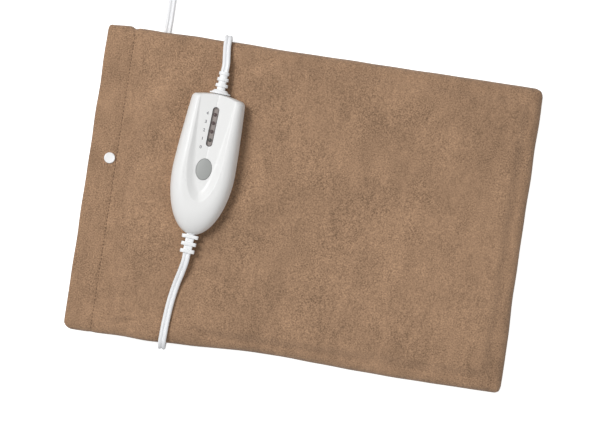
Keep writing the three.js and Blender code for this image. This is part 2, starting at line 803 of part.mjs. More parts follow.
function circuitBoard() {
  const length = boardEnd - boardStart;
  return slab(roundedPlan(boardWidth, length, boardCorner), boardThickness, [
    0, boardStart + length / 2, boardLow], 3);
}

// Screws up from below, into the pilots of the top shell
function housingScrew([x, y]) {
  const slot = block(2 * screwHeadRadius, screwRadius / 2, screwHeadHeight / 2, [0, 0, -seat]);
  const body = turned([
    [0, 0], [screwHeadRadius, 0], [screwHeadRadius, screwHeadHeight], [screwRadius, screwHeadHeight],
    [screwRadius, screwHeadHeight + screwLength - screwRadius], [0, screwHeadHeight + screwLength],
  ], 16);
  return cut(body, slot).translate(x, y, -bottomHeight + screwSink - screwHeadHeight - seat);
}

// Relief at the blunt end: flange, neck, cone with a stepped foot, then three shrinking ribs
function mainsReliefBoot() {
  const inner = mainsEnd - endSeat - reliefFlangeDepth;
  const collar = mainsEnd + seat - inner;
  const profile = [
    [0, 0], [reliefFlange, 0], [reliefFlange, reliefFlangeDepth], [reliefNeck, reliefFlangeDepth],
    [reliefNeck, collar], [coneRadius, collar], [coneRadius, collar + coneLip],
    [coneTop, collar + coneDepth - seat], [reliefCore, collar + coneDepth],
  ];
  const pitch = (mainsRelief - coneDepth) / ribRadii.length;
  ribRadii.forEach((radius, index) => {
    const start = collar + coneDepth + pitch * index + (pitch - reliefRib);
    profile.push(
      [reliefCore, start - seat],
      [radius, start],
      [radius, start + reliefRib - seat],
      [reliefCore, start + reliefRib],
    );
  });
  profile.push([0, collar + mainsRelief]);
  return turned(profile).scale(1, coneFlatShare, 1).rotateX(-Math.PI / 2).translate(0, inner, 0);
}

// Relief at the tip: flange and round neck inside, then a flat core with three square ribs
function padReliefBoot() {
  const face = -tipEnd - seat;
  const pitch = (padRelief - padRib) / (padRibWidths.length - 1);
  const bar = (width, height, from, depth) => block(width, depth, height, [0, from - depth / 2, -height / 2]);
  const ribs = padRibWidths.map((width, index) => bar(width, padRibHeight, face - index * pitch, padRib));
  const neckStart = -tipEnd + tipSeat;
  return join(
    bar(padCoreWidth, padCoreHeight, face, padRelief),
    rod(reliefNeck, neckStart - face + padRib / 2, [0, face - padRib / 2, 0], 20),
    rod(reliefFlange, reliefFlangeDepth, [0, neckStart, 0], 20),
    ...ribs,
  );
}

// Bare ends of the cords, from each relief's flange to the board
const coreRadius = 0.9;
const coreSpread = 4;
const coreLap = 5;
const mainsCore = (side) => {
  const start = boardEnd - coreLap;
  const end = mainsEnd - endSeat - reliefFlangeDepth - seat;
  return rod(coreRadius, end - start, [side * coreSpread, start, onBoard + coreRadius], 8);
};
const padCore = (side) => {
  const start = -tipEnd + tipSeat + reliefFlangeDepth + seat;
  return rod(coreRadius, boardStart + coreLap - start, [side * coreSpread, start, onBoard + coreRadius], 8);
};

const controller = new THREE.Group();
controller.position.set(controllerX, controllerY, padTop + seat + bottomHeight);
controller.rotation.z = controllerTilt;
pad.add(controller);

const sides = [-1, 1];
add(controller, 'housing_top', housingTop(), whitePlastic);
add(controller, 'housing_bottom', housingBottom(), whitePlastic);
add(controller, 'select_button', selectButton(), greyRubber);
add(controller, 'light_window', lightWindow(), smokedPlastic);
for (let index = 0; index < lightCount; index += 1) {
  add(controller, `indicator_light_${index + 1}`, indicatorLight(index), index === 0 ? greenLens : redLens);
}
add(controller, 'circuit_board', circuitBoard(), boardGreen);
add(controller, 'switch_body', switchBody(), blackPlastic);
add(controller, 'switch_plunger', switchPlunger(), whitePlastic);
add(controller, 'dropper_capacitor', boardBlock(dropper), filmYellow);
add(controller, 'microcontroller', boardBlock(microcontroller), blackPlastic);
add(controller, 'triac', boardBlock(triac), blackPlastic);
add(controller, 'smoothing_capacitor', drum(smoothing), capBlue);
add(controller, 'fuse', fuseTube(), brass);
add(controller, 'power_resistor', drum(resistor), ceramicWhite);
screwPosts.forEach((post, index) => {
  add(controller, `housing_screw_${index + 1}`, housingScrew(post), steel);
});
sides.forEach((side, index) => {
  add(controller, `mains_core_${index + 1}`, mainsCore(side), copper);
  add(controller, `pad_core_${index + 1}`, padCore(side), copper);
});
add(controller, 'mains_strain_relief', mainsReliefBoot(), cordPlastic);
add(controller, 'pad_strain_relief', padReliefBoot(), cordPlastic);

// Cords: flat twin leads that lie on their broad side

const cordSides = 8;
const spanSteps = 2; // steps between two points of a route
const floorGap = 0.3;
const hookRadius = 9.5;
const hookInset = 5.4; // from the cover's edge in to the middle of the cord's bend round it
const hookSteps = 6;
const hookMiddle = floorGap + cordThickness / 2 + hookRadius;

const point = (x, y, z) => new THREE.Vector3(x, y, z);

function cord(...stretches) {
  const route = new THREE.CatmullRomCurve3(stretches.flat(), false, 'centripetal');
  return sweep(route.getPoints((route.points.length - 1) * spanSteps), cordWidth, cordThickness, cordSides);
}

// Half-round bend over the cover's edge and back under it; side is 1 at +Y and -1 at -Y
function edgeHook(x, side) {
  return Array.from({ length: hookSteps + 1 }, (_, step) => {
    const angle = Math.PI * step / hookSteps;
    const out = coverWidth / 2 - hookInset + hookRadius * Math.sin(angle);
    return point(x, side * out, hookMiddle + hookRadius * Math.cos(angle));
  });
}

// First points of a cord beyond the relief that ends at this place along the controller
function reliefExit(end) {
  return [end + Math.sign(end) * seat, end + Math.sign(end) * cordWidth].map((along) =>
    point(0, along, 0).applyAxisAngle(point(0, 0, 1), controllerTilt).add(controller.position));
}

// Coil of the mains lead: wound in, up a layer where it reverses, and out again over itself
const coilTurns = 3; // of the lower layer
const climbTurns = 0.5;
const coilTopTurns = 2.75;
const loopSteps = 24;
const coilRadius = 54; // where the coil starts
const coilPitch = 8.2;
const coilLayer = 4.5;
const coilY = 268;
const tieThickness = 0.8;
const tieWidth = 12;
const tieSlack = 1;

const coilX = mainsPassX + coilRadius;
const coilInner = coilRadius - coilPitch * (coilTurns + climbTurns);
const coilLow = floorGap + tieThickness + seat + cordThickness / 2;
const coilHigh = coilLow + coilLayer;
const coilStep = 1.5 * coilPitch; // how far the upper layer widens in its first half turn
const coilEnd = coilInner + coilStep + coilPitch * (coilTopTurns - climbTurns);

function coilPlace(turn) {
  const top = turn - coilTurns - climbTurns;
  const wound = top < 0
    ? coilRadius - coilPitch * turn
    : coilInner + coilStep * easeUnit(top / climbTurns) + coilPitch * Math.max(top - climbTurns, 0);
  const angle = Math.PI - 2 * Math.PI * turn;
  return point(
    coilX + wound * Math.cos(angle),
    coilY + wound * Math.sin(angle),
    coilLow + coilLayer * easeUnit((turn - coilTurns) / climbTurns),
  );
}

const coilPlaces = Array.from(
  { length: Math.round((coilTurns + climbTurns + coilTopTurns) * loopSteps) + 1 },
  (_, step) => coilPlace(step / loopSteps),
);

// Least gap of the coil to itself, between places at least a quarter turn apart
function coilGap() {
  let least = Infinity;
  coilPlaces.forEach((from, index) => {
    for (const to of coilPlaces.slice(index + loopSteps / 4)) {
      const level = Math.hypot(to.x - from.x, to.y - from.y) - cordWidth;
      const upright = Math.abs(to.z - from.z) - cordThickness;
      least = Math.min(least, Math.max(level, upright));
    }
  });
  return least;
}

function coilTie() {
  const across = coilRadius - coilPitch / 2 - coilInner + cordWidth + 2 * tieSlack;
  const tall = coilLayer + cordThickness + 2 * seat;
  const outside = roundedPlan(across + 2 * tieThickness, tall + 2 * tieThickness, tieThickness + seat);
  outside.holes.push(new THREE.Path(roundedPlan(across, tall, seat).getPoints(2).reverse()));
  return slab(outside, tieWidth, [0, 0, -tieWidth / 2], 2)
    .rotateX(Math.PI / 2)
    .translate(coilX + (coilRadius - coilPitch / 2 + coilInner) / 2, coilY, coilLow + coilLayer / 2);
}

// Plug: two blades in a moulded grip, with a ribbed relief
const plugLead = 30; // from the coil to the plug
const plugWidth = 24;
const plugHeight = 16;
const plugGrip = 30;
const plugRelief = 26;
const plugRibs = 4;
const plugRibShare = 0.6; // of the pitch
const plugRibGrowth = 1.2;
const plugCoreWall = 1.1;
const plugSides = 16;
const roundShare = 0.8;
const squareShare = 0.55;
const gripShares = [[0, 0.62], [0.22, 0.9], [0.5, 0.92], [0.86, 1], [1, 0.93]]; // along, and of the width
const bladeLength = 16.5;
const bladeRoot = 3; // depth of its socket in the grip
const bladeSpacing = 12.7;
const bladeThickness = 1.5;
const bladeCorner = 1.5;
const wideBlade = 7.9;
const narrowBlade = 6.3;
const bladeHole = 1.6;
const bladeHoleInset = 4.8;

const plugX = coilX + plugLead;
const plugY = coilY + coilEnd;
const plugMiddle = floorGap + plugHeight / 2;
const gripEnd = plugX + plugRelief + plugGrip;

function plugRing(x, width, height, bendShare) {
  const bulge = (value) => Math.sign(value) * Math.abs(value) ** bendShare;
  return Array.from({ length: plugSides }, (_, side) => {
    const angle = 2 * Math.PI * side / plugSides;
    return [x, plugY + width / 2 * bulge(Math.cos(angle)), plugMiddle + height / 2 * bulge(Math.sin(angle))];
  });
}

function plugBody() {
  const [coreWidth, coreHeight] = [cordWidth + 2 * plugCoreWall, cordThickness + 2 * plugCoreWall];
  const pitch = plugRelief / plugRibs;
  const rings = [];
  for (let rib = 0; rib < plugRibs; rib += 1) {
    const [start, end] = [plugX + rib * pitch, plugX + (rib + plugRibShare) * pitch];
    const grow = plugRibGrowth * (1 + rib);
    rings.push(
      plugRing(start, coreWidth + grow, coreHeight + grow, roundShare),
      plugRing(end, coreWidth + grow, coreHeight + grow, roundShare),
      plugRing(end, coreWidth, coreHeight, roundShare),
      plugRing(start + pitch, coreWidth, coreHeight, roundShare),
    );
  }
  gripShares.forEach(([along, size]) => {
    const x = plugX + plugRelief + along * plugGrip;
    rings.push(plugRing(x, plugWidth * size, plugHeight * size, squareShare));
  });
  const socketWidth = wideBlade + 2 * seat;
  const sockets = sides.map((side) =>
    block(bladeRoot + overrun, bladeThickness + 2 * seat, socketWidth, [
      gripEnd - (bladeRoot - overrun) / 2, plugY + side * bladeSpacing / 2, plugMiddle - socketWidth / 2]));
  return cut(ringSolid(rings), ...sockets);
}

function plugBlade(side, width) {
  const length = bladeLength + bladeRoot - seat;
  const plan = roundedPlan(length, width, bladeCorner);
  plan.holes.push(new THREE.Path().absarc(length / 2 - bladeHoleInset, 0, bladeHole, 0, 2 * Math.PI));
  return slab(plan, bladeThickness, [0, 0, -bladeThickness / 2], 4)
    .rotateX(Math.PI / 2)
    .translate(gripEnd + bladeLength - length / 2, plugY + side * bladeSpacing / 2, plugMiddle);
}

// Mains lead: off the controller, round the far border, and out again under it to the coil
const mainsFallPoints = [point(-96.6, 136, 24.6)];
const mainsUnderPoints = [
  point(-97.6, 138, 2.3),
  point(-97.6, 131, 2.3),
  point(-101.6, 115.9, 2.3),
  point(-112.7, 104.8, 2.3),
  point(-127.8, 100.8, 2.3),
  point(-142.9, 104.8, 2.3),
  point(-154, 115.9, 2.3),
  point(-158, 131, 2.3),
  point(-158, 165, 2.3),
  point(-158, 205, 2.5),
  point(-158, 240, 3.2),
];

// Pad lead: off the controller's tip, round the near border, and under the pad to its outlet
const padTopPoints = [
  point(-109.2, -80, 24.2),
  point(-112, -91, 21.4),
  point(-114.8, -107, 20.5),
  point(-116.6, -126, 20.6),
];
const padUnderPoints = [
  point(-117.2, -130, 2.3),
  point(-112, -102, 2.3),
  point(-90, -74, 2.3),
  point(-50, -60, 2.3),
  point(0, -60, 2.3),
  point(52, -55, 2.3),
  point(94, -32, 2.3),
  point(112, 6, 2.3),
  point(107, 42, 2.3),
  point(90, 66, 2.3),
  point(70, 77, 2.3),
];

const coilStart = coilPlaces[0].clone().sub(point(0, 2 * seat, 0));
const outletMiddle = seat + outletHeight / 2;
const outletEnd = outletX + outletLength / 2;

const mainsLead = cord(
  reliefExit(mainsEnd + seat + mainsRelief),
  mainsFallPoints,
  edgeHook(mainsHookX, 1),
  mainsUnderPoints,
  [coilStart.clone().sub(point(0, cordWidth, 0)), coilStart],
);
const padLead = cord(
  reliefExit(-tipEnd - seat - padRelief),
  padTopPoints,
  edgeHook(padHookX, -1),
  padUnderPoints,
  [point(outletEnd + cordWidth, outletY, outletMiddle), point(outletEnd + seat, outletY, outletMiddle)],
);
const coilLead = sweep([
  ...coilPlaces,
  point(coilX + plugLead / 3, plugY, coilHigh),
  point(plugX - cordWidth, plugY, plugMiddle),
  point(plugX - seat, plugY, plugMiddle),
], cordWidth, cordThickness, 6);

add(pad, 'mains_lead', mainsLead, cordPlastic);
add(pad, 'mains_lead_coil', coilLead, cordPlastic);
add(pad, 'coil_tie', coilTie(), blackPlastic);
add(pad, 'pad_lead', padLead, cordPlastic);
add(pad, 'plug_body', plugBody(), cordPlastic);
add(pad, 'plug_blade_wide', plugBlade(1, wideBlade), brass);
add(pad, 'plug_blade_narrow', plugBlade(-1, narrowBlade), brass);

console.log(`least gap between turns of the coil: ${coilGap().toFixed(2)} mm`);

export default pad;
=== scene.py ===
# Looks of the heating pad: plush cover, hand controller, twin leads, coil and plug, on a pale floor
from math import atan, radians
import bpy
import numpy as np
from numpy import arange, array, clip, concatenate, cos, hypot, linspace, maximum, minimum
from numpy import pi, sin, sqrt, where
from mathutils import Matrix, Vector


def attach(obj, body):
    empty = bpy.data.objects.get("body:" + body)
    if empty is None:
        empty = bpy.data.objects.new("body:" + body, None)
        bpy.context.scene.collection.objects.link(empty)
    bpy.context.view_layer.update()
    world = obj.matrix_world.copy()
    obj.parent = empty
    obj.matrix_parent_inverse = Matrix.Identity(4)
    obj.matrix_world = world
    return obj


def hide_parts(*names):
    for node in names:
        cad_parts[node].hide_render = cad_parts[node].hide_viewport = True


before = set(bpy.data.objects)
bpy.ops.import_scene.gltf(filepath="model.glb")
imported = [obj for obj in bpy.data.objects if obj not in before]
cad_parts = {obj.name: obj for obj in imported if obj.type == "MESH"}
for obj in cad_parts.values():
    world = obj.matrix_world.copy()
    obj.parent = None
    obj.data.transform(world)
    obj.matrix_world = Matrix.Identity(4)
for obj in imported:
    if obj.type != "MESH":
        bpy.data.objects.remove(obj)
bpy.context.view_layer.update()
root = "heating_pad"
mm = 0.001
print("frame loaded")


# Helpers for lengths, arrays and meshes

# Millimetres put into metres, single or in lists and tuples
def inMetres(value):
    if isinstance(value, (tuple, list)):
        return type(value)(inMetres(part) for part in value)
    return value * mm


# Named lengths in millimetres, kept as a dictionary in metres
def lengths(**values):
    return {name: inMetres(value) for name, value in values.items()}


# Smooth step: 0 up to t = 0, 1 from t = 1 on, and t squared times (3 - 2t) between them
def ease(t):
    t = clip(t, 0, 1)
    return t * t * (3 - 2 * t)


# Angles of one whole turn in equal steps, without the last, which would repeat the first
def circle(count):
    return 2 * pi * arange(count) / count


# A value's size to a power, with its sign kept
def bent(value, power):
    return np.sign(value) * np.abs(value) ** power


# Points from their coordinates, which may be numbers or arrays that stretch to one shape
def pointsFrom(*parts):
    return np.stack(np.broadcast_arrays(*parts), axis=-1)


# Sum of the steps along a line, each to a power
def runAlong(line, power=1):
    return concatenate([[0], np.cumsum(np.linalg.norm(np.diff(line, axis=0), axis=1) ** power)])


# The same line with its points at equal distances along it
def evenPoints(line, count):
    along = runAlong(line)
    even = linspace(0, along[-1], count)
    return pointsFrom(*(np.interp(even, along, column) for column in line.T))


def linkObject(name, data):
    thing = bpy.data.objects.new(name, data)
    bpy.context.scene.collection.objects.link(thing)
    return thing


def linkMesh(name, points, faces, smooth=True):
    mesh = bpy.data.meshes.new(name)
    mesh.from_pydata(np.asarray(points, dtype=float).reshape(-1, 3).tolist(), [], faces)
    mesh.polygons.foreach_set("use_smooth", [smooth] * len(mesh.polygons))
    mesh.update()
    return linkObject(name, mesh)


# A piece's mesh with its modifiers done
def evaluatedMesh(piece):
    return bpy.data.meshes.new_from_object(piece.evaluated_get(bpy.context.evaluated_depsgraph_get()))


# The same faces, seen from their other side
def turned(faces):
    return [face[::-1] for face in faces]


# Quads between the rows of a grid of rows by columns; closed columns join the last one to the first
def gridFaces(rows, columns, closed=False, start=0):
    across = columns if closed else columns - 1
    row, column = np.meshgrid(arange(rows - 1), arange(across), indexing="ij")
    following = (column + 1) % columns
    quads = pointsFrom(row * columns + column, row * columns + following,
                       (row + 1) * columns + following, (row + 1) * columns + column)
    return (quads.reshape(-1, 4) + start).tolist()


# Faces that shut a ring by a fan on its middle, or, for a long thin ring, by a seam across its two halves
def ringLid(columns, middle, seam):
    side = arange(columns)
    if not seam:
        return pointsFrom(middle, side, (side + 1) % columns).tolist()
    half = columns // 2
    near = side[1:half - 1]
    across = pointsFrom(near, near + 1, columns - near - 1, columns - near).tolist()
    return [[0, 1, columns - 1], *across, [half - 1, half, half + 1]]


# Rows of closed rings with both ends shut; faces are turned outwards by the enclosed volume
def ringPiece(name, rings, seam=False):
    rings = np.asarray(rings, dtype=float)
    rows, columns = rings.shape[:2]
    middles = [] if seam else [rings[:1].mean(axis=1), rings[-1:].mean(axis=1)]
    points = concatenate([rings.reshape(-1, 3), *middles])
    faces = gridFaces(rows, columns, closed=True)
    base = (rows - 1) * columns
    faces += turned(ringLid(columns, base + columns, seam))
    faces += [[base + corner for corner in face] for face in ringLid(columns, columns + 1, seam)]
    corners = points[array([(f[0], f[k], f[k + 1]) for f in faces for k in range(1, len(f) - 1)])]
    volume = np.einsum("ij,ij->i", corners[:, 0], np.cross(corners[:, 1], corners[:, 2])).sum()
    return linkMesh(name, points, turned(faces) if volume < 0 else faces)


# Surface turned about Z from pairs of radius and height
def turnedPiece(name, profile, sides):
    radius, height = (column[:, None] for column in array(profile).T)
    angle = circle(sides)
    return ringPiece(name, pointsFrom(radius * cos(angle), radius * sin(angle), height))


# Rings across Y from rows of place, width, height and bend e in mm: |cos a|^e by |sin a|^e
def sectionRings(sections, count):
    along, wide, high, bend = (column[:, None] for column in array(sections).T)
    angle = circle(count)
    return pointsFrom(wide / 2 * bent(cos(angle), bend), along, high / 2 * bent(sin(angle), bend)) * mm


# A flat ring lifted to a height, which may differ from point to point
def atHeight(ring, z):
    return pointsFrom(*ring.T, z)


# Solid from flat rings, each with its height
def stackRings(name, levels):
    return ringPiece(name, [atHeight(ring, z) for ring, z in levels])


# A move or turn put into the mesh, so that the object stays at the origin
def placed(piece, matrix):
    piece.data.transform(matrix)
    piece.data.update()
    return piece


def sharpen(piece, degrees=35):
    piece.data.set_sharp_from_angle(angle=radians(degrees))
    return piece


# Exact cuts, done at once; the cutters are then removed
def cutBy(piece, cutters):
    for index, cutter in enumerate(cutters):
        tool = piece.modifiers.new(f"cut{index}", "BOOLEAN")
        tool.operation = "DIFFERENCE"
        tool.object = cutter
        tool.solver = "EXACT"
    solid = evaluatedMesh(piece)
    piece.modifiers.clear()
    piece.data = solid
    for cutter in cutters:
        bpy.data.objects.remove(cutter)
    return piece


# Sizes that several pieces share, as in the solids
cover = lengths(length=432, width=302, fabric=1.8, seat=0.3, flap=28, edgeRun=22, underside=4.6, restBand=10,
                riseRun=14, flapRoom=6.2, panelRoom=9.4)
control = dict(lengths(x=-101.5, y=23, z=27.2, mainsEnd=74.6, tipEnd=64.4), tilt=radians(-3.2))
controlPlace = (Matrix.Translation((control["x"], control["y"], control["z"]))
                @ Matrix.Rotation(control["tilt"], 4, "Z"))

# Camera: straight above, turned so that the cover lies 8.6 degrees clockwise in the picture
camera = dict(lengths(pixel=0.981, midX=-8.2, midY=-4.1, aimZ=6), width=590, turn=8.6, distance=2.2,
              sensor=36, near=0.05, far=20)


# Lens = sensor times distance over the picture's width at the pad
def makeCamera():
    data = bpy.data.cameras.new("camera")
    data.sensor_width = camera["sensor"]
    data.lens = camera["sensor"] * camera["distance"] / (camera["pixel"] * camera["width"])
    data.clip_start = camera["near"]
    data.clip_end = camera["far"]
    shot = linkObject("camera", data)
    shot.location = (camera["midX"], camera["midY"], camera["aimZ"] + camera["distance"])
    shot.rotation_euler = (0, 0, radians(camera["turn"]))
    bpy.context.scene.camera = shot


makeCamera()
print("camera set")


# Shader groups that several materials share

def setInputs(node, values):
    for label, value in values.items():
        node.inputs[label].default_value = value


# Empty group with a place and named numbers as inputs, and numbers as outputs
def shaderGroup(name, outputs, **inputs):
    group = bpy.data.node_groups.new(name, "ShaderNodeTree")
    for label, value in dict(Vector=(0, 0, 0), **inputs).items():
        kind = "NodeSocketVector" if label == "Vector" else "NodeSocketFloat"
        group.interface.new_socket(name=label, in_out="INPUT", socket_type=kind).default_value = value
    for label in outputs:
        group.interface.new_socket(name=label, in_out="OUTPUT", socket_type="NodeSocketFloat")
    return group, group.nodes.new("NodeGroupInput"), group.nodes.new("NodeGroupOutput")


def addNode(tree, kind, **settings):
    node = tree.nodes.new(kind)
    for key, value in settings.items():
        setattr(node, key, value)
    return node


# Math on two values, each a number or a socket
def mathNode(tree, operation, first, second):
    node = addNode(tree, "ShaderNodeMath", operation=operation)
    for socket, value in zip(node.inputs, (first, second)):
        if isinstance(value, (int, float)):
            socket.default_value = value
        else:
            tree.links.new(value, socket)
    return node.outputs[0]


# Value times factor, plus more
def timesPlus(tree, value, factor, more):
    return mathNode(tree, "ADD", mathNode(tree, "MULTIPLY", value, factor), more)


def noiseOf(tree, vector, scale, detail=2.0, roughness=0.5, distortion=0.0):
    node = addNode(tree, "ShaderNodeTexNoise")
    setInputs(node, {"Scale": scale, "Detail": detail, "Roughness": roughness, "Distortion": distortion})
    tree.links.new(vector, node.inputs["Vector"])
    return node.outputs["Fac"]


# Scale, detail, roughness and distortion of each noise; brushed patches run along a turned and shortened Y
pile = dict(drift=(17, 2, 0.55, 0.6), patch=(95, 3, 0.6, 0.8), tuft=(760, 2, 0.62), calm=(31, 2, 0.5, 0.5),
            turn=-38, shorten=0.42, lively=1.3, least=0.3, patchHeight=1.4, bump=0.6, deep=0.5)
skin = dict(peel=900, slow=(45, 3, 0.6), wear=0.12, coatRoughness=0.12, deep=0.05)


# Brushed pile: broad drifts, brushed patches and single tufts, as a tint around 1 and a height
def makePileGroup():
    group, given, put = shaderGroup("brushedPile", ("Tint", "Height"), Drift=0.08, Patch=0.16, Tuft=0.5)
    place = given.outputs["Vector"]
    brushing = addNode(group, "ShaderNodeMapping")
    setInputs(brushing, {"Rotation": (0, 0, radians(pile["turn"])), "Scale": (1, pile["shorten"], 1)})
    group.links.new(place, brushing.inputs["Vector"])
    drift = noiseOf(group, place, *pile["drift"])
    brushed = noiseOf(group, brushing.outputs[0], *pile["patch"])
    tuft = noiseOf(group, place, *pile["tuft"])
    lively = timesPlus(group, noiseOf(group, place, *pile["calm"]), pile["lively"], pile["least"])
    tint = 1.0
    for value, share in ((drift, "Drift"), (brushed, "Patch"), (tuft, "Tuft")):
        centred = mathNode(group, "SUBTRACT", value, 0.5)
        if share == "Tuft":
            centred = mathNode(group, "MULTIPLY", centred, lively)
        tint = timesPlus(group, centred, given.outputs[share], tint)
    group.links.new(tint, put.inputs["Tint"])
    group.links.new(timesPlus(group, brushed, pile["patchHeight"], tuft), put.inputs["Height"])
    return group


# Moulded skin: fine peel as a height, and a slow tint where hands have dulled it
def makeSkinGroup():
    group, given, put = shaderGroup("mouldedSkin", ("Tint", "Height", "Wear"),
                                    Peel=skin["peel"], Dulling=0.03)
    place = given.outputs["Vector"]
    peel = noiseOf(group, place, skin["peel"])
    group.links.new(given.outputs["Peel"], peel.node.inputs["Scale"])
    slow = noiseOf(group, place, *skin["slow"])
    tint = timesPlus(group, mathNode(group, "SUBTRACT", slow, 0.5), given.outputs["Dulling"], 1.0)
    for label, value in (("Tint", tint), ("Height", peel), ("Wear", slow)):
        group.links.new(value, put.inputs[label])
    return group


pileGroup = makePileGroup()
skinGroup = makeSkinGroup()


# Red, green and blue from 0 to 255 as linear light
def linear(colour):
    values = [value / 255 for value in colour]
    return [value / 12.92 if value <= 0.04045 else ((value + 0.055) / 1.055) ** 2.4 for value in values]


# A principled material whose colour is a linear paint times its group's tint, in the piece's own place
def startMaterial(name, colour, group, values):
    material = bpy.data.materials.new(name)
    material.use_nodes = True
    tree = material.node_tree
    shader = tree.nodes["Principled BSDF"]
    paint = addNode(tree, "ShaderNodeRGB")
    paint.outputs[0].default_value = (*linear(colour), 1)
    look = addNode(tree, "ShaderNodeGroup", node_tree=group)
    setInputs(look, values)
    tinted = addNode(tree, "ShaderNodeVectorMath", operation="SCALE")
    for start, end in ((addNode(tree, "ShaderNodeTexCoord").outputs["Object"], look.inputs["Vector"]),
                       (paint.outputs[0], tinted.inputs[0]), (look.outputs["Tint"], tinted.inputs["Scale"]),
                       (tinted.outputs[0], shader.inputs["Base Color"])):
        tree.links.new(start, end)
    return material, tree, shader, look.outputs


def bumpFrom(tree, shader, height, strength, distance):
    bump = addNode(tree, "ShaderNodeBump")
    setInputs(bump, {"Strength": strength, "Distance": distance})
    tree.links.new(height, bump.inputs["Height"])
    tree.links.new(bump.outputs[0], shader.inputs["Normal"])


# Plush and felt: dull, with a faint sheen and a bump from the pile
def pileMaterial(name, colour, drift, patch, tuft):
    values = {"Drift": drift, "Patch": patch, "Tuft": tuft}
    material, tree, shader, look = startMaterial(name, colour, pileGroup, values)
    setInputs(shader, {"Roughness": 0.95, "Specular IOR Level": 0.15,
                       "Sheen Weight": 0.2, "Sheen Roughness": 0.5})
    bumpFrom(tree, shader, look["Height"], pile["bump"], pile["deep"] * mm)
    return material


# Thread, plastic, rubber and metal: roughness varies about its value with the wear
def skinMaterial(name, colour, roughness, peel=skin["peel"], dulling=0.03, bump=0.08,
                 coat=0.0, metallic=0.0, alpha=1.0):
    material, tree, shader, look = startMaterial(name, colour, skinGroup, {"Peel": peel, "Dulling": dulling})
    rough = timesPlus(tree, look["Wear"], skin["wear"], roughness - skin["wear"] / 2)
    tree.links.new(rough, shader.inputs["Roughness"])
    setInputs(shader, {"Metallic": metallic, "Coat Weight": coat, "Coat Roughness": skin["coatRoughness"],
                       "Alpha": alpha})
    bumpFrom(tree, shader, look["Height"], bump, skin["deep"] * mm)
    return material


# Colour, then how strong the drift, the patches and the tufts are
piles = dict(plush=((163, 131, 104), 0.55, 0.55, 1.9), plushBack=((156, 125, 99), 0.55, 0.55, 1.9),
             felt=((217, 212, 200), 0.08, 0.16, 0.2))
# Colour, roughness, and what differs from a plain skin
skins = dict(
    # The stitch thread's dark brown is painted shade of the stitch holes; the real thread is the cloth's
    # colour
    threadPaintedShade=((88, 66, 50), 0.8, dict(peel=2500, bump=0.3)), vinylSheet=((230, 226, 214), 0.45, {}),
    whiteShell=((240, 240, 239), 0.46, dict(coat=0.08, dulling=0.02)),
    snapWhite=((250, 250, 250), 0.32, dict(coat=0.2)),
    buttonGrey=((166, 168, 166), 0.5, dict(peel=1400, bump=0.15)), windowRim=((74, 71, 72), 0.35, {}),
    windowSmoke=((152, 142, 139), 0.12, dict(coat=0.6, alpha=0.24)), wellFloor=((218, 208, 202), 0.6, {}),
    redLens=((66, 26, 29), 0.25, {}), greenLens=((20, 50, 38), 0.25, {}),
    printGrey=((118, 118, 122), 0.6, {}),
    cordSheath=((243, 244, 246), 0.4, dict(peel=1600, coat=0.1)),
    reliefWhite=((246, 247, 248), 0.42, dict(peel=1600)),
    tieBlack=((30, 30, 32), 0.5, {}), boardGreen=((47, 107, 69), 0.5, dict(peel=300, bump=0.2)),
    blackCase=((29, 29, 31), 0.5, {}), filmYellow=((214, 181, 58), 0.4, {}),
    canBlue=((44, 79, 138), 0.35, {}),
    ceramic=((233, 230, 220), 0.6, dict(peel=500, bump=0.2)),
    zincSteel=((186, 188, 190), 0.35, dict(metallic=1.0, peel=2500, bump=0.15)),
    bladeBrass=((206, 178, 112), 0.32, dict(metallic=1.0, peel=2500, bump=0.15)),
    copperStrand=((196, 128, 84), 0.4, dict(metallic=1.0, peel=2500, bump=0.3)))
paints = {name: pileMaterial(name, *values) for name, values in piles.items()}
for name, (colour, roughness, others) in skins.items():
    paints[name] = skinMaterial(name, colour, roughness, **others)
print("materials made")


# Material and body of a made piece, with the solids that it stands for
def finishPiece(piece, material, replaced=(), body=root):
    piece.data.materials.clear()
    piece.data.materials.append(paints[material])
    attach(piece, body)
    if replaced:
        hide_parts(*replaced)
    return piece


# Cords: the same routes as in the solids
cord = dict(lengths(width=7.6, thickness=4, step=2.4), sides=28, spanSteps=12, level=0.25, spread=2.2,
            round=1.25, sharp=55)
hook = dict(lengths(radius=9.5, inset=5.4, middle=11.8), steps=6)
coil = dict(lengths(radius=54, pitch=8.2, layer=4.5, x=-104, y=268, low=3.4), turns=3, climb=0.5,
            topTurns=2.75, loopSteps=24, change=1.5)
mainsPoints = lengths(
    hookX=-97.6, fall=[(-96.6, 136, 24.6)],
    under=[(-97.6, 138, 2.3), (-97.6, 131, 2.3), (-101.6, 115.9, 2.3), (-112.7, 104.8, 2.3),
           (-127.8, 100.8, 2.3), (-142.9, 104.8, 2.3), (-154, 115.9, 2.3), (-158, 131, 2.3),
           (-158, 165, 2.3), (-158, 205, 2.5), (-158, 240, 3.2)])
padPoints = lengths(
    hookX=-117.4, top=[(-109.2, -80, 24.2), (-112, -91, 21.4), (-114.8, -107, 20.5), (-116.6, -126, 20.6)],
    under=[(-117.2, -130, 2.3), (-112, -102, 2.3), (-90, -74, 2.3), (-50, -60, 2.3), (0, -60, 2.3),
           (52, -55, 2.3), (94, -32, 2.3), (112, 6, 2.3), (107, 42, 2.3), (90, 66, 2.3),
           (70, 77, 2.3), (59.6, 77.25, 2.3), (52.3, 77.25, 2.3)])
relief = lengths(mains=21.8, pad=18.1, gap=0.3, sunk=1.5)


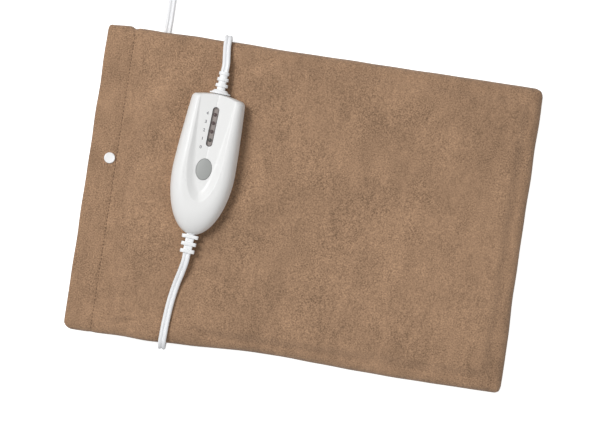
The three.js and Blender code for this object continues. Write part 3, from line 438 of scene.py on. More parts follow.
# Smooth curve through points: centripetal Catmull-Rom, each span sampled evenly, then spaced by length
def smoothRoute(points, step):
    points = array(points, dtype=float)
    full = np.vstack([2 * points[0] - points[1], points, 2 * points[-1] - points[-2]])
    knots = runAlong(full, 0.5)
    p0, p1, p2, p3 = (full[k:len(full) - 3 + k][:, None, :] for k in range(4))
    t0, t1, t2, t3 = (knots[k:len(knots) - 3 + k][:, None, None] for k in range(4))
    share = linspace(0, 1, cord["spanSteps"], endpoint=False)[None, :, None]
    t = t1 + (t2 - t1) * share

    def between(first, last, start, end):
        return (end - t) / (end - start) * first + (t - start) / (end - start) * last

    a1, a2, a3 = between(p0, p1, t0, t1), between(p1, p2, t1, t2), between(p2, p3, t2, t3)
    curve = between(between(a1, a2, t0, t2), between(a2, a3, t1, t3), t1, t2)
    curve = np.vstack([curve.reshape(-1, 3), points[-1]])
    length = runAlong(curve)[-1]
    return evenPoints(curve, max(int(round(length / step)), 2) + 1), length


# Section carried along a route and kept level: across is horizontal, up is square to both
def sweepFrames(route):
    ahead = np.gradient(route, axis=0)
    ahead /= np.linalg.norm(ahead, axis=1)[:, None]
    level = pointsFrom(ahead[:, 1], -ahead[:, 0], 0)
    across = np.zeros_like(level)
    held = level[0] / np.linalg.norm(level[0])
    for index, side in enumerate(level):
        if np.linalg.norm(side) > cord["level"]:
            side = side * (-1 if side @ held < 0 else 1)
            held = side / np.linalg.norm(side)
        held = held - (held @ ahead[index]) * ahead[index]
        held /= np.linalg.norm(held)
        across[index] = held
    return across, np.cross(across, ahead)


# Twin cord section: two circles side by side, joined where they meet in a groove
def twinSection():
    radius = cord["thickness"] / 2
    offset = cord["width"] / 2 - radius
    angle = circle(cord["sides"])
    spread = cos(angle)
    x = offset * clip(spread * cord["spread"], -1, 1) + radius * bent(spread, cord["round"])
    x = clip(x, -cord["width"] / 2, cord["width"] / 2)
    high = sqrt(clip(radius ** 2 - (np.abs(x) - offset) ** 2, 0, None))
    return x, np.sign(sin(angle)) * high


# Rings = route + across times the section's x + up times its height
def cordPiece(name, points):
    route, length = smoothRoute(points, cord["step"])
    across, up = sweepFrames(route)
    x, z = twinSection()
    rings = route[:, None, :] + across[:, None, :] * x[None, :, None] + up[:, None, :] * z[None, :, None]
    return sharpen(ringPiece(name, rings), cord["sharp"]), route, length


# Point on the controller's own long axis, in the scene's frame
def controlPoint(along):
    return tuple(controlPlace @ Vector((0, along, 0)))


# Half circle in the plane across the cover's edge: out = edge - inset + r sin a, height = middle + r cos a
def edgeHook(x, side):
    angle = linspace(0, pi, hook["steps"] + 1)
    out = cover["width"] / 2 - hook["inset"] + hook["radius"] * sin(angle)
    return pointsFrom(x, side * out, hook["middle"] + hook["radius"] * cos(angle))


# Spiral in on the lower layer, up in half a turn, and out again on the upper layer
def coilPoints():
    turn = arange(int((coil["turns"] + coil["climb"] + coil["topTurns"]) * coil["loopSteps"]) + 1)
    turn = turn / coil["loopSteps"]
    top = turn - coil["turns"] - coil["climb"]
    inner = coil["radius"] - coil["pitch"] * (coil["turns"] + coil["climb"])
    wound = where(top < 0, coil["radius"] - coil["pitch"] * turn,
                  inner + coil["change"] * coil["pitch"] * ease(top / coil["climb"])
                  + coil["pitch"] * clip(top - coil["climb"], 0, None))
    angle = pi - 2 * pi * turn
    return pointsFrom(coil["x"] + wound * cos(angle), coil["y"] + wound * sin(angle),
                      coil["low"] + coil["layer"] * ease((turn - coil["turns"]) / coil["climb"]))


# Plug: widths and heights in mm, and the grip's size along its length; bend is the power of its
# squashed circle
plug = dict(lengths(lead=30, middle=8.3), relief=26, grip=30, width=24, height=16, ribs=4, core=(9.8, 6.2),
            start=(0, 8.6, 5, 0.85), grow=1.2, thick=0.6, edge=0.4, valley=0.2, bend=0.8, gripBend=0.55,
            sides=40, rise=(0.3, 0.7), drop=0.1,
            sizes=((0, 0.62), (0.04, 0.70), (0.12, 0.82), (0.22, 0.9), (0.36, 0.90), (0.5, 0.92), (0.7, 0.97),
                   (0.86, 1), (0.95, 0.99), (0.985, 0.96), (1, 0.90)))
wound = coilPoints()
plug["x"] = coil["x"] + plug["lead"]
plug["y"] = float(wound[-1, 1])
reliefEnd = control["mainsEnd"] + relief["gap"] + relief["mains"]
padReliefEnd = -control["tipEnd"] - relief["gap"] - relief["pad"]
mainsRoute = [controlPoint(reliefEnd - relief["sunk"]), controlPoint(reliefEnd + cord["width"]),
              *mainsPoints["fall"], *edgeHook(mainsPoints["hookX"], 1), *mainsPoints["under"], *wound,
              (coil["x"] + plug["lead"] / 3, plug["y"], coil["low"] + coil["layer"]),
              (plug["x"] - cord["width"], plug["y"], plug["middle"]),
              (plug["x"] + relief["sunk"], plug["y"], plug["middle"])]
padRoute = [controlPoint(padReliefEnd + relief["sunk"]), controlPoint(padReliefEnd - cord["width"]),
            *padPoints["top"], *edgeHook(padPoints["hookX"], -1), *padPoints["under"]]
mainsCord, mainsPath, mainsLength = cordPiece("mainsCord", mainsRoute)
padCord, padPath, padLength = cordPiece("padCord", padRoute)
finishPiece(mainsCord, "cordSheath", ("mains_lead", "mains_lead_coil"))
finishPiece(padCord, "cordSheath", ("pad_lead",))
print(f"cords laid: {mainsLength:.3f} m and {padLength:.3f} m")


# Plug's relief, whose ribs step out and in and grow, then its grip, carried along X
def plugGrip():
    spots = [plug["start"]]
    pitch = plug["relief"] / plug["ribs"]
    thick, edge = plug["thick"] * pitch, plug["edge"]
    (foot, crown), drop = plug["rise"], plug["drop"]
    steps = [(foot, edge, 1), (crown, 0, 1), (thick - edge, 0, 1), (thick, edge, 1),
             (thick + drop, edge, plug["valley"]), (pitch - drop, 0, plug["valley"])]
    for rib in range(plug["ribs"]):
        for along, less, share in steps:
            wide, high = (size - less + plug["grow"] * (1 + rib) * share for size in plug["core"])
            spots.append((rib * pitch + along, wide, high, plug["bend"]))
    for along, size in plug["sizes"]:
        spots.append((plug["relief"] + along * plug["grip"], plug["width"] * size, plug["height"] * size,
                      plug["gripBend"]))
    rings = sectionRings(spots, plug["sides"])[..., [1, 0, 2]] + (plug["x"], plug["y"], plug["middle"])
    return sharpen(ringPiece("plugGrip", rings), 40)


grip = finishPiece(plugGrip(), "reliefWhite", ("plug_body",))

# Outer corners of the band's section: share of its depth, and 1 for the outside or 0 for the inside
band = dict(lengths(width=35.4, tall=10.4, thick=0.9, depth=12, x=-66.4), sides=72, bends=(0.22, 0.4),
            profile=((-0.5, 0), (-0.5, 1), (-0.46, 1), (0.46, 1), (0.5, 1), (0.5, 0), (-0.5, 0)))


# Tie: a flat band round the turns, a rounded rectangle carried a short way along Y
def tieBand():
    angle = circle(band["sides"])
    rings = []
    for along, out in band["profile"]:
        less = band["thick"] * (1 - out)
        rings.append(pointsFrom((band["width"] / 2 - less) * bent(cos(angle), band["bends"][0]),
                                along * band["depth"],
                                (band["tall"] / 2 - less) * bent(sin(angle), band["bends"][1])))
    points = array(rings) + (band["x"], coil["y"], coil["low"] + coil["layer"] / 2)
    return sharpen(linkMesh("tieBand", points, gridFaces(len(rings), band["sides"], closed=True)))


tie = finishPiece(tieBand(), "tieBlack", ("coil_tie",))
print("plug and tie made")


# Controller, in its own frame (+Y to the blunt end, z = 0 where its shells meet), then put in its place.
# Runs: how far the flank draws in at the side, the blunt end's width, the blunt end and the tip
shell = dict(lengths(top=15.6, bottom=9, wall=2.2, halfWide=30.6, widest=-1.93, halfBlunt=26.4, sag=4.2,
                     corner=5, fall=2.6, topRuns=(12, 7.5, 2.5, 26), bottomRuns=(9, 7, 2.5, 16), groove=0.35,
                     step=0.02, roof=9.4, bed=-6.8, spineLow=-14, spineEnd=20),
             bow=1.35, around=440, flank=26, inward=44, bottomInward=10, innerFlank=8, innerInward=4,
             spineShare=0.992, steps=(24, 12, 50, 60))
scoop = dict(lengths(floor=11.6, halfWide=17.6, straight=12, tip=-33, footWide=17, footTip=-20, footEnd=69.6,
                     footRound=20, past=8, valley=0.9, fade=26, crease=0.7, creaseDepth=0.2, blend=0.2),
             footBend=0.51, fromRise=0.3, steps=(200, 120, 90, 140))
button = lengths(halfWide=7.5, halfLong=10.35, gap=0.3, rise=1.1, flange=1.5, flangeTop=9.1, flangeThick=1.2,
                 edge=0.5, show=0.1)
window = dict(lengths(low=22.5, high=61.3, halfWide=3.1, gap=0.05, above=0.06, rim=0.5, rimTall=2.4,
                      rimRound=0.1, lens=0.35, lensGap=0.05, lensEdge=0.15, lensThick=0.7, well=1.3, tray=0.5,
                      trayPast=1, light=28.9, pitch=8.35, radius=1.9, foot=0.2, peak=0.02), count=4, dome=0.7)
cutRange = inMetres((4, 16))
neckCut = lengths(radius=4.9, top=(40, 84), tip=(-80, -53.5))


def onControl(piece):
    return placed(piece, controlPlace)


# Half of the outline from the blunt end to the tip: bow, corner, side that draws in, half ellipse
def outlineHalf(inset, runs, share):
    side, blunt, endRun, tipRun = runs
    sag, corner, widest = shell["sag"], shell["corner"], shell["widest"]
    halfWide = shell["halfWide"] - inset - side * share
    halfBlunt = shell["halfBlunt"] - inset - blunt * share
    end = control["mainsEnd"] - inset - endRun * share
    reach = control["tipEnd"] + widest - inset - tipRun * share
    bowSteps, cornerSteps, sideSteps, tipSteps = shell["steps"]
    bowEnd = halfBlunt - corner
    cornerTop = end - sag * (bowEnd / halfBlunt) ** 2
    x = linspace(0, bowEnd, bowSteps, endpoint=False)
    bowPart = pointsFrom(x, end - sag * (x / halfBlunt) ** 2)
    a = linspace(0, pi / 2, cornerSteps, endpoint=False)
    cornerPart = pointsFrom(bowEnd + corner * sin(a), cornerTop - corner * (1 - cos(a)))
    along = linspace(1, 0, sideSteps, endpoint=False)
    sidePart = pointsFrom(halfWide - (halfWide - halfBlunt) * along ** shell["bow"],
                          widest + (cornerTop - corner - widest) * along)
    a = linspace(0, pi / 2, tipSteps)
    tipPart = pointsFrom(halfWide * cos(a), widest - reach * sin(a))
    return concatenate([bowPart, cornerPart, sidePart, tipPart])


# Closed outline spaced by its length, so that the rings' points line up
def outlineRing(inset, runs, share, count):
    right = evenPoints(outlineHalf(inset, runs, share), count // 2 + 1)
    return concatenate([right, right[1:-1][::-1] * (-1, 1)])


# Crest: level over the tip half, then falling smoothly to the blunt end
def crestHeight(y):
    return shell["top"] - shell["fall"] * ease(y / control["mainsEnd"])


# Distance from each point to the nearest point of a line, a batch of points at a time
def nearest(points, line, batch=4000):
    parts = np.array_split(points, len(points) // batch + 1)
    return concatenate([np.linalg.norm(part[:, None, :] - line[None, :, :], axis=2).min(axis=1)
                        for part in parts])


# Ramp from 0 to 1 that is straight but for a rounded start and end
def softRamp(t, start=0.1, end=0.42):
    total = 1 - (start + end) / 2
    rising = where(t < start, t * t / (2 * start), start / 2 + t - start)
    return clip(where(t > 1 - end, total - (1 - t) ** 2 / (2 * end), rising) / total, 0, 1)


# Half width of the scoop's floor: full width times a power of the way from its tip
def footHalf(y):
    share = clip((y - scoop["footTip"]) / (scoop["footEnd"] - scoop["footTip"]), 0, 1.1)
    return scoop["footWide"] * share ** scoop["footBend"]


# Floor of the scoop: a shallow valley with a small sharp crease along its middle
def floorHeight(x, y):
    side = np.abs(x)
    crease = scoop["creaseDepth"] * clip(1 - side / scoop["crease"], 0, 1)
    fade = ease((y - scoop["footTip"]) / scoop["fade"])
    return scoop["floor"] + (scoop["valley"] * side / scoop["footWide"] - crease) * fade


# Height of the scooped top: crest outside its rim, floor inside its foot, a soft slope between the two
def scoopHeight(points):
    x, y = points.T
    half, straight, long = scoop["halfWide"], scoop["straight"], scoop["straight"] - scoop["tip"]
    edge = control["mainsEnd"] + scoop["past"]
    tipSteps, sideSteps, roundSteps, footSteps = scoop["steps"]
    a = linspace(0, pi, tipSteps)
    sides = [pointsFrom(s * half, linspace(straight, edge, sideSteps)) for s in (-1, 1)]
    rim = concatenate([pointsFrom(half * cos(a), straight - long * sin(a)), *sides])
    bend = scoop["footTip"] + scoop["footRound"]
    along = concatenate([scoop["footTip"] + scoop["footRound"] * linspace(0, 1, roundSteps) ** 2,
                         linspace(bend, edge, footSteps)])
    foot = concatenate([pointsFrom(s * footHalf(along), along) for s in (-1, 1)])
    reach = sqrt((x / half) ** 2 + (clip(straight - y, 0, None) / long) ** 2)
    inside = (np.abs(x) <= footHalf(y)) & (y > scoop["footTip"])
    toRim, toFoot = nearest(points, rim), nearest(points, foot)
    t = where(reach >= 1, 0, where(inside, 1, toRim / maximum(toRim + toFoot, 1e-9)))
    return crestHeight(y) + (floorHeight(x, y) - crestHeight(y)) * softRamp(t)


# Smaller of two heights with a rounded meeting
def softLower(first, second, blend):
    gap = clip(0.5 + 0.5 * (second - first) / blend, 0, 1)
    return second + (first - second) * gap - blend * gap * (1 - gap)


# Rings from the meeting plane up the flank, then inwards to a line along the middle
def domeRings(inset, runs, height, flank, inward, scooped):
    count = shell["around"]
    rings = []
    for step in range(flank + 1):
        angle = pi / 2 * step / flank
        rings.append((outlineRing(inset, runs, 1 - cos(angle), count), sin(angle)))
    level = rings[-1][0]
    spine = pointsFrom(0, clip(level[:, 1], shell["spineLow"], control["mainsEnd"] - shell["spineEnd"]))
    for step in range(1, inward + 1):
        rings.append((level + (spine - level) * step / inward * shell["spineShare"], 1.0))
    stacked = []
    for ring, rise in rings:
        top = height * rise
        if scooped:
            top = crestHeight(ring[:, 1]) * rise
            if rise >= scoop["fromRise"]:
                top = softLower(top, scoopHeight(ring), scoop["blend"])
        stacked.append(atHeight(ring, top))
    return stacked


# Closed shell: groove step, outside rings, and inside rings back down to the rim
def shellPiece(name, runs, height, inner, scooped, cutters):
    groove, sign = shell["groove"], 1 if height > 0 else -1
    inwardRings = shell["inward" if scooped else "bottomInward"]
    outer = domeRings(0, runs, height, shell["flank"], inwardRings, scooped)
    inward = domeRings(shell["wall"], runs, inner, shell["innerFlank"], shell["innerInward"], False)
    rim = atHeight(outlineRing(groove, runs, 0, shell["around"]), outer[0][:, 2])
    outer[0] = outer[0] + (0, 0, sign * groove)
    for ring in outer[1:]:
        ring[:, 2] = sign * maximum(sign * ring[:, 2], groove + shell["step"])
    rings = [*outer[::-1], rim + (0, 0, sign * groove), rim, *inward]
    return onControl(sharpen(cutBy(ringPiece(name, rings, seam=True), cutters), 32))


# Cylinder from start to end along Z or Y, moved to its place
def cylinderCutter(radius, start, end, place=(0, 0, 0), axis="Z"):
    tool = turnedPiece("cutter", [(radius, start), (radius, end)], 40)
    turn = Matrix.Rotation(radians(-90), 4, "X") if axis == "Y" else Matrix.Identity(4)
    return placed(tool, Matrix.Translation(place) @ turn)


# Ring of a slot: two half circles moved apart along Y
def pillRing(halfWide, low, high, count=72):
    x, y = halfWide * cos(circle(count)), halfWide * sin(circle(count))
    return pointsFrom(x, where(y >= 0, high - halfWide + y, low + halfWide + y))


# The window's slot, grown by a margin
def windowRing(grow):
    return pillRing(window["halfWide"] + grow, window["low"] - grow, window["high"] + grow)


# The button's oval: half width times cos a by half length times sin a, grown by a margin
def ovalRing(grow, count=72):
    angle = circle(count)
    return pointsFrom((button["halfWide"] + grow) * cos(angle), (button["halfLong"] + grow) * sin(angle))


# Round holes through both ends, where the reliefs' necks pass
def neckCutters():
    return [cylinderCutter(neckCut["radius"], *neckCut[end], axis="Y") for end in ("top", "tip")]


slotCutter = stackRings("cutter", [(windowRing(window["gap"]), z) for z in cutRange])
buttonCutter = stackRings("cutter", [(ovalRing(button["gap"]), z) for z in cutRange])
shellTop = shellPiece("shellTop", shell["topRuns"], shell["top"], shell["roof"], True,
                      [slotCutter, buttonCutter, *neckCutters()])
finishPiece(shellTop, "whiteShell", ("housing_top",))
screws = inMetres([(18, 48), (-18, 48), (17.5, -31.9), (-17.5, -31.9)])
pocket = lengths(radius=2.9, depth=3, below=-12)
pockets = [cylinderCutter(pocket["radius"], pocket["below"], -shell["bottom"] + pocket["depth"], (x, y, 0))
           for x, y in screws]
shellBottom = shellPiece("shellBottom", shell["bottomRuns"], -shell["bottom"], shell["bed"], False,
                         [*pockets, *neckCutters()])
finishPiece(shellBottom, "whiteShell", ("housing_bottom",))
print("shells made", len(shellTop.data.polygons), len(shellBottom.data.polygons))


# Button cap: flange under the panel, neck, rounded edge and a domed oval top
def buttonCap():
    edge, show, floor = button["edge"], button["show"], scoop["floor"]
    under = button["flangeTop"]
    flange, stem = ovalRing(button["flange"]), ovalRing(0)
    levels = [(flange, under - button["flangeThick"]), (flange, under), (stem, under), (stem, floor + show)]
    for a in pi / 2 * arange(1, 6) / 6:
        levels.append((ovalRing(-edge * (1 - cos(a))), floor + show + (edge - show) * sin(a)))
    for share in 1 - arange(1, 20) / 20:
        sink = (button["rise"] - edge) * share ** 2
        levels.append((ovalRing(-edge) * share, floor + button["rise"] - sink))
    return onControl(sharpen(stackRings("buttonCap", levels), 40))


finishPiece(buttonCap(), "buttonGrey", ("select_button",), body="button")


# Window: a rim in the slot, the smoked lens sunk in it, and four lights on a pale tray below
def windowPieces():
    top, edge, bevel = scoop["floor"] + window["above"], window["rim"], window["rimRound"]
    foot = top - window["rimTall"]
    levels = [(0, foot), (0, top - bevel), (-bevel, top), (bevel - edge, top), (-edge, top - bevel),
              (-edge, foot), (0, foot)]
    points = [atHeight(windowRing(grow), z) for grow, z in levels]
    faces = gridFaces(len(points), len(points[0]), closed=True)
    rim = onControl(sharpen(linkMesh("windowRim", points, faces), 40))
    lensTop = top - window["lens"]
    lensFoot = lensTop - window["lensThick"]
    gap, slope = window["lensGap"], window["lensEdge"]
    lens = onControl(sharpen(stackRings("windowLens", [
        (windowRing(-edge - gap), lensFoot), (windowRing(-edge - gap), lensTop - slope),
        (windowRing(-edge - gap - slope), lensTop)]), 40))
    trayTop = lensFoot - window["well"]
    tray = onControl(stackRings("lightTray", [(windowRing(window["trayPast"]), z)
                                              for z in (trayTop - window["tray"], trayTop)]))
    return rim, lens, sharpen(tray), trayTop


rim, lens, tray, trayTop = windowPieces()
finishPiece(rim, "windowRim")
finishPiece(lens, "windowSmoke", ("light_window",))
finishPiece(tray, "wellFloor")
for index in range(window["count"]):
    radius = window["radius"]
    a = linspace(0, pi / 2, 8)
    dome = [(radius, 0), *zip(radius * cos(a), window["foot"] + window["dome"] * radius * sin(a))]
    dome[-1] = (window["peak"], dome[-1][1])
    light = turnedPiece(f"light{index + 1}", dome, 32)
    onControl(placed(light, Matrix.Translation((0, window["light"] + index * window["pitch"], trayTop))))
    finishPiece(light, "redLens" if index else "greenLens", (f"indicator_light_{index + 1}",))
print("button and window made")


# Numbers beside the lights, laid on the sloping floor of the scoop
number = lengths(size=4.2, bold=0.09, thick=0.02, x=-7.4, lift=0.03)


def numberMark(text, y):
    curve = bpy.data.curves.new("number", "FONT")
    curve.body = text
    curve.size = number["size"]
    curve.extrude = number["thick"]
    curve.offset = number["bold"]
    curve.align_x = curve.align_y = "CENTER"
    holder = linkObject("number", curve)
    bpy.context.view_layer.update()
    mark = linkObject(f"number{text}", evaluatedMesh(holder))
    bpy.data.objects.remove(holder)
    slope = atan(scoop["valley"] / scoop["footWide"])
    height = float(floorHeight(number["x"], y)) + number["lift"]
    placed(mark, Matrix.Translation((number["x"], y, height)) @ Matrix.Rotation(slope, 4, "Y"))
    return finishPiece(onControl(mark), "printGrey")


for index in range(window["count"] + 1):
    numberMark(str(index), window["light"] + (index - 1) * window["pitch"])
print("numbers made")


# Screws: pan head with a cross recess; rows of shares of the head's radius and height
screw = dict(lengths(head=2.6, tall=1.6, shank=1.3, length=12, point=1.5, tip=0.2, middle=0.02, below=3,
                     sunk=0.9, arm=(1.6, 0.35)),
             pan=((0.6, 1), (0.85, 0.85), (1, 0.5), (1, 0)), turn=20, turnStep=31)


# Profile from the head up the shank to the point, turned about Z, less two crossed bars
def crossScrew(index, x, y):
    head, tall, shank = screw["head"], screw["tall"], screw["shank"]
    seat = -shell["bottom"] + pocket["depth"]
    end = seat + screw["length"]
    profile = [(screw["middle"], seat - tall),
               *((head * wide, seat - tall * high) for wide, high in screw["pan"]), (shank, seat),
               (shank, end - screw["point"]), (screw["tip"], end)]
    body = turnedPiece(f"screw{index + 1}", profile, 36)
    plan = array([(-1, -1), (1, -1), (1, 1), (-1, 1)]) * screw["arm"]
    arms = []
    for turn in (0, 90):
        arm = stackRings("cutter", [(plan, z) for z in (seat - screw["below"], seat - tall + screw["sunk"])])
        angle = radians(turn + screw["turn"] + screw["turnStep"] * index)
        arms.append(placed(arm, Matrix.Rotation(angle, 4, "Z")))
    cutBy(body, arms)
    return onControl(placed(sharpen(body), Matrix.Translation((x, y, 0))))


for index, (x, y) in enumerate(screws):
    finishPiece(crossScrew(index, x, y), "zincSteel", (f"housing_screw_{index + 1}",))

# Reliefs, in mm out from the shell's end: rows of place and width, then the ribs' widths; a height is a
# share of its width where flat gives one, and stands third in its row where it doesn't
cone = dict(flat=0.72, ribs=(12.2, 11.2, 10), ribsFrom=4.5, ribsLong=17.6, rib=3.3, core=7.8, bend=1,
            round=0.45,
            start=((-5, 12), (-3.4, 12), (-3.4, 9.2), (0.2, 9.2), (0.25, 20.2), (0.5, 20.6), (1.3, 20.6),
                   (1.6, 20), (1.7, 16.6), (2.2, 16.2), (3, 14.6), (3.8, 13.5), (4.2, 12.6), (4.4, 8.6)))
cone["pitch"] = cone["ribsLong"] / len(cone["ribs"])
cone["first"] = cone["ribsFrom"] + cone["pitch"] - cone["rib"]
tail = dict(high=7.4, start=((-12.6, 12, 8.6), (-11.1, 12, 8.6), (-11.1, 8.4, 8.4), (-1, 8.4, 8)),
            ribs=(16.2, 14.8, 14.2), first=0.3, pitch=7.2, rib=3.7, core=8.4, coreHigh=4.8, bend=0.42,
            round=0.5)


# One rib: up from the core over a rounded edge, along, and down over the other
def ribSections(start, wide, high, part):
    radius, end = part["round"], start + part["rib"]
    core = (part["core"], part.get("coreHigh") or part["core"] * part["flat"])
    steps = [(0.05, 2 * radius), (0.3 * radius, 0.6 * radius), (radius, 0)]
    rise = [(start + along, wide - less, high - less) for along, less in steps]
    fall = [(end - along, wide - less, high - less) for along, less in reversed(steps)]
    return [(along, *size, part["bend"]) for along, *size in [(start, *core), *rise, *fall, (end, *core)]]


# Start rows and then each rib's sections, carried outwards from the shell's end
def reliefPiece(name, part, end, way):
    sections = [(row[0], row[1], row[-1] * part.get("flat", 1), 1) for row in part["start"]]
    for index, wide in enumerate(part["ribs"]):
        high = part.get("high") or wide * part["flat"]
        sections += ribSections(part["first"] + part["pitch"] * index, wide, high, part)
    rings = sectionRings([(end / mm + way * along, *others) for along, *others in sections], 64)
    return onControl(sharpen(ringPiece(name, rings), 38))


for name, part, end, way, node in (("mainsRelief", cone, control["mainsEnd"], 1, "mains_strain_relief"),
                                   ("padRelief", tail, -control["tipEnd"], -1, "pad_strain_relief")):
    finishPiece(reliefPiece(name, part, end, way), "reliefWhite", (node,))
print("reliefs made")


# Cover: two panels, each a closed skin over one grid, with dense rows at its borders
halfLong = cover["length"] / 2
halfWide = cover["width"] / 2
panel = lengths(run=10, padRun=32, seam=2.05, curl=1.8, seatedInset=1.4, frontGrid=2.6, backGrid=3.2,
                openRun=6, groove=0.28, grooveWide=1)
hem = lengths(line=-189, extra=1.5, extraIn=6, extraRun=16, extraEdge=2, band=0.3, bandRun=3, bandSide=8)
stitch = dict(lengths(pitch=3.4, long=2.3, thick=0.5, inset=5, sunk=0.22, out=0.2), sides=6, rows=7,
              full=1.02, least=0.03)
snap = lengths(x=-195.5, y=20.7, radius=5.4, low=10.4, high=12, post=1.6, postTall=3.6, foot=0.4,
               footTall=0.3, edge=0.8, dish=0.22, flange=0.95, flangeWide=4.9, flangeRun=1.4)
# Places where a cord passes under a border: the lifted part is flat, then falls; depth is its start inwards
crossings = [dict(lengths(x=-97.6, lift=7, flat=16, fall=34, depth=0, reach=60), side=1),
             dict(lengths(x=-158, lift=4.8, flat=11, fall=16, depth=20, reach=60), side=1),
             dict(lengths(x=-117.4, lift=7, flat=16, fall=34, depth=0, reach=60), side=-1)]
# Signs of x and y at each corner, and its radii along X and Y in mm
corners = [(-1, 1, 3, 3), (1, 1, 9, 9), (1, -1, 6, 8), (-1, -1, 8, 7)]
plan = lengths(near=22, hemRun=5, dropFrom=3, dropRun=22, drop=1.2, hemOut=0.9, notch=1.2, notchWide=2.6,
               lowNotch=0.4, bulge=1.6, bulgeFrom=30, bulgeRun=90, draw=4, drawAt=-15, drawWide=75)
# Waves: size, seed, least and greatest length in mm, count, and the angle and spread of their directions
folds = dict(side=(0.3, 11, 40, 110, 8, pi / 2, 0.1), along=(0.3, 12, 40, 120, 8, 0, 0.1),
             broad=(0.42, 21, 50, 120, 16), small=(0.1, 22, 9, 18, 30),
             low=(0.34, 23, 4.5, 8, 22, pi / 2 + 0.12, 0.3), hem=(0.2, 24, 8, 22, 12, pi / 2, 0.2),
             seam=(0.22, 25, 10, 26, 20, 0, 0.3), end=(0.22, 26, 10, 26, 20, pi / 2, 0.3),
             back=(0.25, 31, 14, 50, 20))
waveShare = 0.7  # of the summed waves, so that only a few peaks pass their size
pucker = lengths(wide=9, deepest=-0.25, edgeFrom=2, edgeRun=14, backFrom=2, backRun=2)
# Patches: middle and half sizes in mm, and the share over which they fade
patches = dict(control=((-101.5, 23), (42, 84), 0.35), padLead=((-113, -112), (13, 52), 0.8),
               low=((-150, -128), (48, 13), 0.7))
# Creases: start, end, depth and width in mm
creases = [((182, 128), (205, 138), 0.5, 1.6), ((188, 62), (205, 78), 0.45, 1.6),
           ((-214, -126), (-196, -122), 0.5, 1.6), ((-206, -118), (-176, -114), 0.35, 1.6),
           ((-150, -140), (-112, -141), 0.4, 1.6)]
# Finer steps of the grid, as reach and step: at every border, and further in along X and along Y
fine = dict(border=inMetres((5, 0.5)), x=inMetres((26, 1.3)), y=inMetres((38, 1.3)), hem=inMetres((4, 0.6)))


# Quarter circle: upright at share 0 and level at share 1
def quarterRise(share):
    return sqrt(1 - (1 - clip(share, 0, 1)) ** 2)


# Bell: e to the power of minus the square of value over width
def bell(value, wide):
    return np.exp(-(value / wide) ** 2)


# How much of a crossing's lift is at x, 1 on its flat part and 0 beyond its fall
def crossingShare(way, x):
    return 1 - ease((np.abs(x - way["x"]) - way["flat"]) / way["fall"])


# Greatest of the lifts, each times its share at x and times an ease inwards from the border
def crossingLift(x, y):
    lifts = []
    for way in crossings:
        inward = 1 - ease((halfWide - way["side"] * y - way["depth"]) / (way["reach"] - way["depth"]))
        lifts.append(way["lift"] * crossingShare(way, x) * inward)
    return np.max(lifts, axis=0)


# Underside: down near the borders, raised under the pad, and lifted over the cords
def backLow(x, y):
    fromEdge = minimum(minimum(halfLong - x, x + halfLong - cover["flap"]), halfWide - np.abs(y))
    rise = cover["underside"] * ease((fromEdge - cover["restBand"]) / cover["riseRun"])
    return maximum(rise, crossingLift(x, y))


# Room between the panels: a quarter ellipse inside the seams, gentler where a cord crosses, wider where
# the pad lies
def roomAt(x, y):
    shares = [(way["side"] * y > 0) * crossingShare(way, x) for way in crossings if way["depth"] == 0]
    crossed = np.max(shares, axis=0)
    fromSeam = minimum(halfLong - x, halfWide - np.abs(y))
    border = quarterRise(fromSeam / (panel["run"] + (cover["edgeRun"] - panel["run"]) * crossed))
    onPad = ease((x + halfLong - cover["flap"]) / panel["padRun"])
    return cover["seat"] + border * (cover["flapRoom"] + (cover["panelRoom"] - cover["flapRoom"]) * onPad)


# Numbers along one axis with a finer step near each of the given places
def spacedLine(half, wide, zones):
    places = [-half]
    while places[-1] < half:
        steps = [step for place, (reach, step) in zones if abs(places[-1] - place) < reach]
        places.append(places[-1] + min([wide, *steps]))
    places = array(places)
    return -half + (places + half) * 2 * half / (places[-1] + half)


# Sum of waves with seeded directions and lengths, about -1 to 1 times their size
def waves(x, y, size, seed, low, high, count, turn=0, spread=pi):
    dice = np.random.default_rng(seed)
    total = np.zeros_like(x)
    for _ in range(count):
        angle = turn + dice.uniform(-spread, spread)
        length = dice.uniform(low * mm, high * mm)
        phase = dice.uniform(0, 2 * pi)
        total += sin(2 * pi / length * (x * cos(angle) + y * sin(angle)) + phase)
    return size * mm * total / sqrt(count) * waveShare


# Soft patch, 1 in its middle and 0 outside an ellipse
def patch(x, y, middle, size, edge):
    (x0, y0), (wide, long) = inMetres(middle), inMetres(size)
    return 1 - ease((hypot((x - x0) / wide, (y - y0) / long) - 1) / edge)


